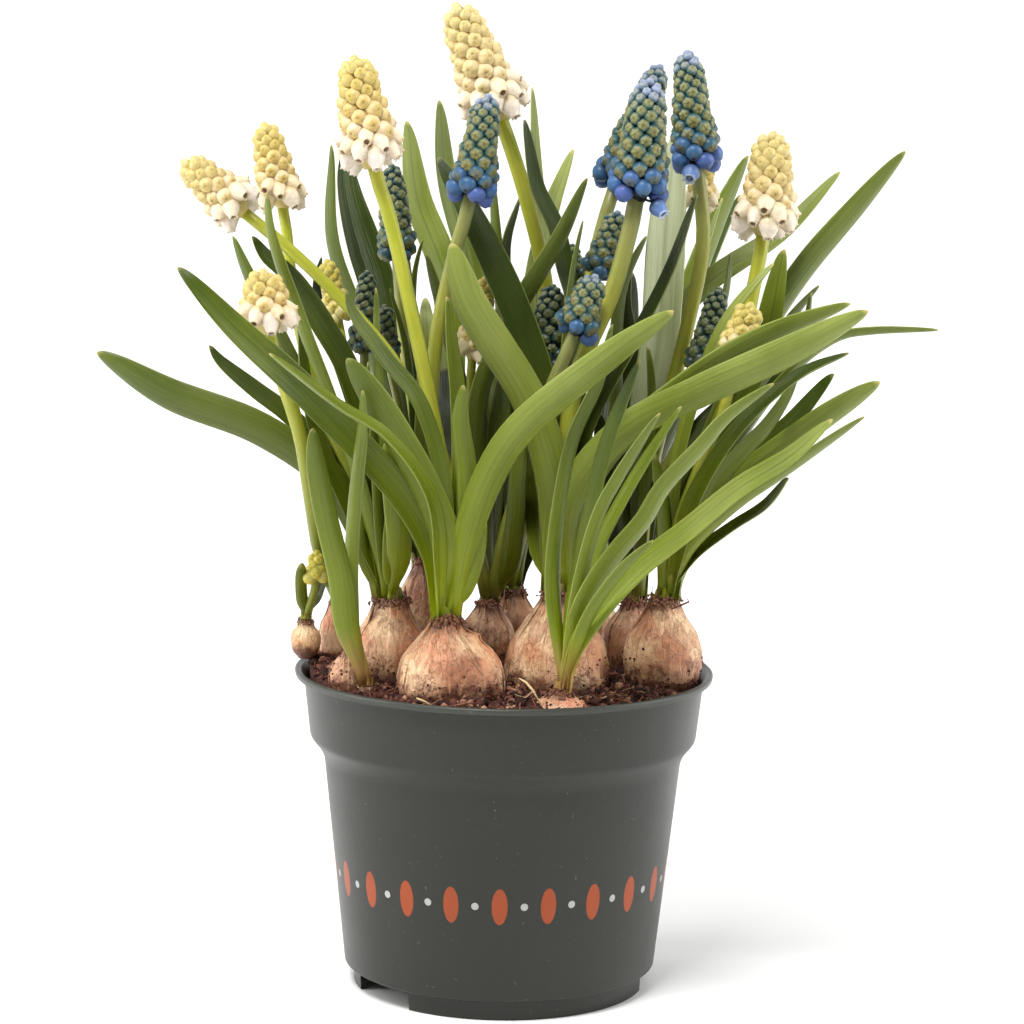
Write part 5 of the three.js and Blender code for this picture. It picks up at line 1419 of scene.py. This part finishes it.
class Look:
    """One material, its colour so far, and the nodes that make it."""

    def __init__(self, name, roughness, specular):
        self.material = bpy.data.materials.new(name)
        self.material.use_nodes = True
        self.tree = self.material.node_tree
        self.inputs = self.tree.nodes["Principled BSDF"].inputs
        self.inputs["Roughness"].default_value = roughness
        self.inputs["Specular IOR Level"].default_value = specular
        self.place = self.node("TexCoord", {}, "Object")

    def node(self, kind, inputs, output=0, **settings):
        node = self.tree.nodes.new("ShaderNode" + kind)
        for name, value in settings.items():
            setattr(node, name, value)
        for socket, value in inputs.items():
            self.feed(node.inputs[socket], value)
        return Value(self, node.outputs[output])

    def feed(self, socket, value):
        if isinstance(value, Value):
            self.tree.links.new(value.socket, socket)
        else:
            socket.default_value = value

    def split(self, vector):
        parts = self.node("SeparateXYZ", {0: vector}).socket.node
        return [Value(self, socket) for socket in parts.outputs]

    def channels(self, attribute):
        """An attribute's three channels, and a colour's fourth."""
        vector = self.node("Attribute", {}, "Vector", attribute_name=attribute)
        return [*self.split(vector), Value(self, vector.socket.node.outputs["Alpha"])]

    def math(self, operation, a, b):
        return self.node("Math", {0: a, 1: b}, operation=operation)

    def vector(self, x, y, z):
        return self.node("CombineXYZ", {0: x, 1: y, 2: z})

    def noise(self, vector, scale, detail=3, roughness=0.55, distortion=0.0):
        inputs = {"Vector": vector, "Scale": scale, "Detail": detail, "Roughness": roughness}
        return self.node("TexNoise", {**inputs, "Distortion": distortion})

    def flattened(self, share):
        """The place with its heights scaled, which draws noise out up and down."""
        return self.node("Mapping", {"Vector": self.place, "Scale": (1, 1, share)})

    def blend(self, share, a, b):
        """A number between two."""
        return self.node("Mix", {0: share, 2: a, 3: b})

    def mix(self, share, a, b, blend="MIX"):
        """A colour between two."""
        a, b = (srgb(colour) if isinstance(colour, tuple) else colour for colour in (a, b))
        return self.node("Mix", {0: share, 6: a, 7: b}, 2, data_type="RGBA", blend_type=blend)

    def paint(self, share, colour):
        """Lays a colour over the look's own."""
        self.colour = self.mix(share, self.colour, colour)

    def darken(self, share):
        self.colour = self.mix(1.0, self.colour, self.vector(share, share, share), "MULTIPLY")

    def ramp(self, value, *stops):
        ramp = self.node("ValToRGB", {0: value})
        elements = ramp.socket.node.color_ramp.elements
        while len(elements) < len(stops):
            elements.new(0.5)
        for element, (position, colour) in zip(elements, stops):
            element.position, element.color = position, srgb(colour)
        return ramp

    def finish(self, height=None, depth=0.0, roughness=None):
        self.feed(self.inputs["Base Color"], self.colour)
        if roughness is not None:
            self.feed(self.inputs["Roughness"], roughness)
        if height is not None:
            bump = self.node("Bump", {"Height": height, "Strength": 1.0, "Distance": depth})
            self.feed(self.inputs["Normal"], bump)
        return self.material


def leaf_material():
    look = Look("leaf", 0.36, 0.3)
    shelter, shade, edge, upper = look.channels("tone")
    across, from_root, from_tip, _ = look.channels("grain")
    veins = look.noise(look.vector(across * 2.2, from_root * 0.03, shade), 1)
    broad = look.noise(look.flattened(0.4), 40)
    green = look.ramp(
        shade + broad.range(0.3, 0.7, -0.12, 0.12), (0.0, (24, 34, 8)), (0.3, (60, 76, 14)),
        (0.6, (104, 117, 28)), (0.85, (144, 153, 74)), (1.0, (184, 191, 152)),
    )
    look.colour = look.mix(upper, look.mix(0.35, green, (124, 138, 58)), green)
    # greener, then yellower, and at last brown towards the root
    low = from_root + broad.range(0.3, 0.7, -9, 9)
    lit = shade.range(0, 0.3, 0.3, 1)
    look.paint(lit * low.range(12, 78, 0.84, 0), (116, 130, 2))
    look.paint(lit * low.range(0, 22, 0.7, 0), (158, 168, 26))
    look.paint(look.split(look.place)[2].range(110 * MM, 97 * MM, 0, 0.85), (152, 108, 68))
    # a pale edge, painted shade in the channel down the middle of the upper face, painted shade where the
    # plants round a leaf keep the light from it (over its fine veins), and a dry tip
    look.paint(edge.range(0.92, 1, 0, 0.55), (160, 168, 92))
    look.paint(edge.range(0.16, 0, 0, 0.3) * upper, (44, 60, 16))
    look.darken(veins.range(0.3, 0.7, 0.84, 1.12) * shelter.range(0, 1, 1, 0.27))
    look.paint(from_tip.range(0.3, 1.6, 1, 0) * shade.range(0.3, 0.7, 0.3, 0.9), (188, 176, 104))
    return look.finish(veins, 0.00022, broad.range(0.3, 0.7, 0.28, 0.42))


def stalk_material():
    look = Look("stalk", 0.36, 0.45)
    shelter, shade, blue, _ = look.channels("tone")
    around, from_root, from_head, _ = look.channels("grain")
    lines = look.noise(look.vector(around * 9, from_root * 0.05, shade), 1)
    look.colour = look.ramp(look.noise(look.place, 60), (0.3, (158, 164, 38)), (0.7, (182, 182, 58)))
    look.paint(from_root.range(5, 70, 0.7, 0), (118, 132, 30))
    look.paint(blue * from_head.range(2, 40, 0.8, 0.1), (126, 128, 84))
    # painted shade where the plants round a stalk keep the light from it, over its fine lines
    look.darken(lines.range(0.3, 0.7, 0.88, 1.08) * shelter.range(0, 1, 1, 0.6))
    return look.finish(lines, 0.0002)


def bulb_material():
    look = Look("bulb", 0.42, 0.5)
    height, pink, brown, crinkled = look.channels("tone")
    around, up, seed, _ = look.channels("grain")
    skin_place = look.vector(around * 0.16, up * 0.09, seed)
    crease = abs(look.noise(skin_place, 1.6, 4, 0.6, 1.3) - 0.5).range(0.0, 0.022, 1, 0)
    threads = look.noise(look.vector(around * 0.9, up * 0.16, seed), 1, 4, 0.7)
    clouds = look.noise(look.place, 105, 5, 0.62)
    blotches = look.noise(look.place, 210, 5, 0.68)
    specks = look.noise(look.place, 640, 3, 0.6)
    layers = look.noise(look.flattened(0.7), 75, 6, 0.6)
    wobble = look.node("TexNoise", {"Vector": look.place, "Scale": 160, "Detail": 3}, 1)
    crumpled = look.node("VectorMath", {0: skin_place, 1: wobble}, operation="ADD")
    cells = look.node("TexVoronoi", {"Vector": crumpled, "Scale": 2.2}, feature="DISTANCE_TO_EDGE")
    ridge = cells.range(0, 0.09, 1, 0) * crinkled.range(0, 1, 0.3, 1)

    look.colour = look.mix(pink, (216, 158, 104), (216, 140, 108))
    look.paint(clouds.range(0.42, 0.57, 0, 0.85), (248, 216, 170))
    # a painted highlight along the crumple ridges
    look.paint(ridge * 0.14, (246, 226, 200))
    # scales one over the other, brown along their torn edges
    look.paint(layers.range(0.53, 0.545, 0, 0.42), (172, 112, 80))
    look.paint(abs(layers - 0.53).range(0, 0.008, 0.55, 0), (128, 74, 50))
    look.paint(threads.range(0.5, 0.74, 0, 0.34), (178, 112, 78))
    look.paint(blotches.range(0.5, 0.64, 0, 0.42), (196, 124, 88))
    look.paint(crease * crinkled.range(0, 1, 0.15, 0.42), (170, 102, 70))
    look.paint(specks.range(0.67, 0.72, 0, 0.45), (132, 72, 48))
    # old and brown in patches, at the base and at the neck
    ragged = height + blotches.range(0.3, 0.7, -0.13, 0.13)
    ends = look.math("MAXIMUM", ragged.range(0.4, 0.2, 0, 0.95), ragged.range(0.84, 0.98, 0, 0.9))
    old = look.node("Clamp", {0: brown * clouds.range(0.34, 0.6, 1.15, 0.25) + ends})
    look.paint(old * 0.9, look.mix(threads, (58, 32, 22), (140, 84, 54)))
    # soiled at the level of the soil, the pinkest bulb least
    level = look.split(look.place)[2] + blotches.range(0.36, 0.64, -5 * MM, 4 * MM)
    soiled = level.range(90 * MM, 97 * MM, 0.9, 0) * threads.range(0.3, 0.6, 0.5, 1)
    look.paint(soiled * pink.range(1, 1.3, 1, 0.2), (104, 62, 46))

    relief = threads * 0.7 + blotches * 0.8 - crease * 0.25 + ridge * 0.22 + layers.range(0.53, 0.54, 0, 0.35)
    return look.finish(relief, 0.0006, blotches.range(0.4, 0.65, 0.28, 0.54))


def soil_material():
    look = Look("soil", 0.85, 0.3)
    shade, kind, _, _ = look.channels("tone")
    grit = look.noise(look.place, 700, 4, 0.7)
    look.colour = look.ramp(
        shade * 0.68 + grit * 0.46, (0.12, (24, 13, 10)), (0.45, (56, 30, 24)), (0.76, (112, 66, 54)),
        (0.97, (196, 152, 120)),
    )
    fibre = look.ramp(shade, (0.1, (88, 48, 36)), (0.85, (150, 96, 72)), (0.97, (220, 190, 144)))
    look.paint(kind.range(0.7, 0.9), fibre)
    return look.finish(grit, 0.0006)


def petal_material(name):
    petal = PETALS[name]
    look = Look(f"petal_{name}", 0.42, 0.45)
    share, along, chance, openness = look.channels("tone")
    youth, shade_core, _, _ = look.channels("grain")
    place = look.blend(youth, share + (chance - 0.5) * 0.14, share * 0.36 + 0.36)
    grown = 1.0 - youth * 0.8
    side, star = (
        look.mix(grown, petal[f"young_{part}"], look.ramp(place, *petal[part])) for part in ("side", "star")
    )
    shown = along.range(*petal["star_from"]) * openness.range(0, 1, 1, 0.25)
    look.colour = look.mix(shown, side, star)
    look.paint(youth.range(-1, 0, 0.5, 0), (238, 228, 200))
    # a wide open bell is paler, and palest at its rim
    wide = openness.range(1.2, 1.8)
    look.paint(wide * 0.5, (120, 150, 205))
    look.paint(along.range(0.6, 0.7) * wide * 0.8, (214, 224, 240))
    mouth = (along + openness * 0.03).range(0.93, 0.985) * openness.range(0, 1, 0.4, 0.9)
    look.paint(mouth, look.mix(wide, petal["inside"], (96, 120, 150)))
    # painted shade on each flower's base, deep between the flowers
    look.paint(along.range(0.42, 0.08, 0, 0.9), petal["gap"])
    look.darken(look.noise(look.place, 900).range(0.3, 0.7, 0.88, 1.08))
    # the head's core all in painted shade
    look.paint(shade_core, petal["gap"])
    look.inputs["Subsurface Weight"].default_value = 0.12
    look.inputs["Subsurface Radius"].default_value = (1.0, 0.8, 0.5)
    look.inputs["Subsurface Scale"].default_value = 0.0012
    return look.finish()


def pot_material():
    look = Look("pot", 0.38, 0.38)
    x, y, z = look.split(look.place)
    clouds = look.noise(look.place, 24, 4)
    look.colour = look.ramp(clouds, (0.3, (31, 32, 26)), (0.7, (37, 38, 31)))
    look.paint(look.noise(look.place, 700, 2).range(0.7, 0.78, 0, 0.2), (138, 138, 126))
    # a painted highlight along the lip of the rim
    look.paint(z.range(89.7 * MM, 90.3 * MM, 0, 0.14), (120, 124, 116))
    turn = look.math("ARCTAN2", y, x) * (PRINT["count"] / TURN)
    for shift, width, height, ink in PRINT["marks"]:
        across = (look.math("FRACT", turn + shift, 0) - 0.5) / width
        up = (z - PRINT["middle"] * MM) / (height * MM)
        printed = (across**2 + up**2).range(1.04, 0.96)
        look.paint(printed * clouds.range(0.3, 0.5, 0.86, 1), ink)
    return look.finish(look.noise(look.place, 1500, 3, 0.7), 0.00006, clouds.range(0.3, 0.7, 0.34, 0.44))


def floor_material():
    look = Look("floor", 0.8, 0.2)
    look.colour = look.ramp(look.noise(look.place, 6, 2), (0.3, (240, 240, 239)), (0.7, (246, 246, 245)))
    return look.finish()


MATERIALS = {
    "leaf": leaf_material(),
    "stalk": stalk_material(),
    "bulb": bulb_material(),
    "soil": soil_material(),
    "blue": petal_material("blue"),
    "white": petal_material("white"),
    "pot": pot_material(),
    "floor": floor_material(),
}

# ---------------------------------------------------------------- camera, light and floor

CAMERA = {"sensor": 36, "lens": 110.6, "tilt": 81.92, "roll": 1}
LAMP_AIM = (0, 0, 0.13)
# Each lamp's place, where it aims and its size, in metres, and its power
LAMPS = {
    "left": ((-1.2, -0.1, 0.6), LAMP_AIM, (0.6, 1.2), 13),
    "right": ((1.2, 0.0, 0.6), LAMP_AIM, (0.6, 1.2), 13),
    "key": ((-0.4, -0.9, 1.7), LAMP_AIM, (0.7, 0.6), 36),
    "backdrop": ((0, 1.0, 2.2), (0, 3.3, 0.4), (3, 1), 90),
}
# The floor, which curves up into a backdrop on all sides: [radius, height]
FLOOR = [
    [1, 0], [2600, 0], [2900, 60], [3150, 260], [3300, 600], [3360, 1400], [3400, 1400], [3400, -60],
    [1, -60],
]


def add_camera():
    data = bpy.data.cameras.new("camera")
    data.sensor_width, data.lens = CAMERA["sensor"], CAMERA["lens"]
    data.clip_start, data.clip_end = 0.05, 50
    camera = bpy.data.objects.new("camera", data)
    camera.matrix_world = (
        Matrix.Translation(EYE * MM)
        @ Matrix.Rotation(math.radians(CAMERA["tilt"]), 4, "X")
        @ Matrix.Rotation(math.radians(CAMERA["roll"]), 4, "Z")
    )
    bpy.context.scene.collection.objects.link(camera)
    bpy.context.scene.camera = camera


def add_light(name, place, aim, size, power):
    data = bpy.data.lights.new(name, "AREA")
    data.shape = "RECTANGLE"
    data.size, data.size_y = size
    data.energy = power
    light = bpy.data.objects.new(name, data)
    turn = (Vector(aim) - Vector(place)).to_track_quat("-Z", "Y")
    light.matrix_world = Matrix.Translation(place) @ turn.to_matrix().to_4x4()
    bpy.context.scene.collection.objects.link(light)


def add_studio():
    world = bpy.data.worlds.new("studio")
    world.use_nodes = True
    background = world.node_tree.nodes["Background"]
    background.inputs["Color"].default_value = (1, 1, 1, 1)
    background.inputs["Strength"].default_value = 0.14
    bpy.context.scene.world = world
    bpy.context.scene.view_settings.view_transform = "Standard"
    for name, lamp in LAMPS.items():
        add_light(name, *lamp)
    radii, heights = (np.array(column)[:, None] for column in zip(*FLOOR))
    closed_piece("floor", loft(ring((0, 0), radii, circle(96), heights)), MATERIALS["floor"])


# ---------------------------------------------------------------- the object


def fit(piece, node):
    """Puts a finished piece in the place of its solid."""
    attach(piece, "root")
    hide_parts(node)


leaves = [Leaf(*row) for row in LEAVES]
flowers = [Flower(*row) for row in FLOWERS]
Clearing([*leaves, *flowers]).settle()

fit(draw_pot(), "pot")
fit(draw_soil().to_object("soil_crumbled", MATERIALS["soil"]), "soil")

for number, (plant, (name, *_)) in enumerate(BULBS.items()):
    skin = draw_bulb(plant, number * 3.7 + 1)
    fit(skin.to_object(f"bulb_{name}_skin", MATERIALS["bulb"]), f"bulb_{name}")
    own_leaves = [leaf for leaf in leaves if leaf.plant == plant]
    own_flowers = [flower for flower in flowers if flower.plant == plant]
    if own_leaves or own_flowers:
        greens = Shape()
        draw_sheath(greens, plant)
        for index, leaf in enumerate(own_leaves):
            draw_leaf(greens, leaf, index)
        for flower in own_flowers:
            draw_stalk(greens, flower)
        piece = greens.to_object(f"greens_{name}_grown", MATERIALS["leaf"], MATERIALS["stalk"])
        fit(piece, f"greens_{name}")

for colour, looks in HEAD_LOOKS.items():
    heads = [flower for flower in flowers if flower.colour == colour]
    for number, (flower, look) in enumerate(zip(heads, looks), 1):
        node = f"bloom_{colour}_{number:02d}"
        fit(draw_head(flower, look).to_object(f"{node}_open", MATERIALS[colour]), node)

add_camera()
add_studio()
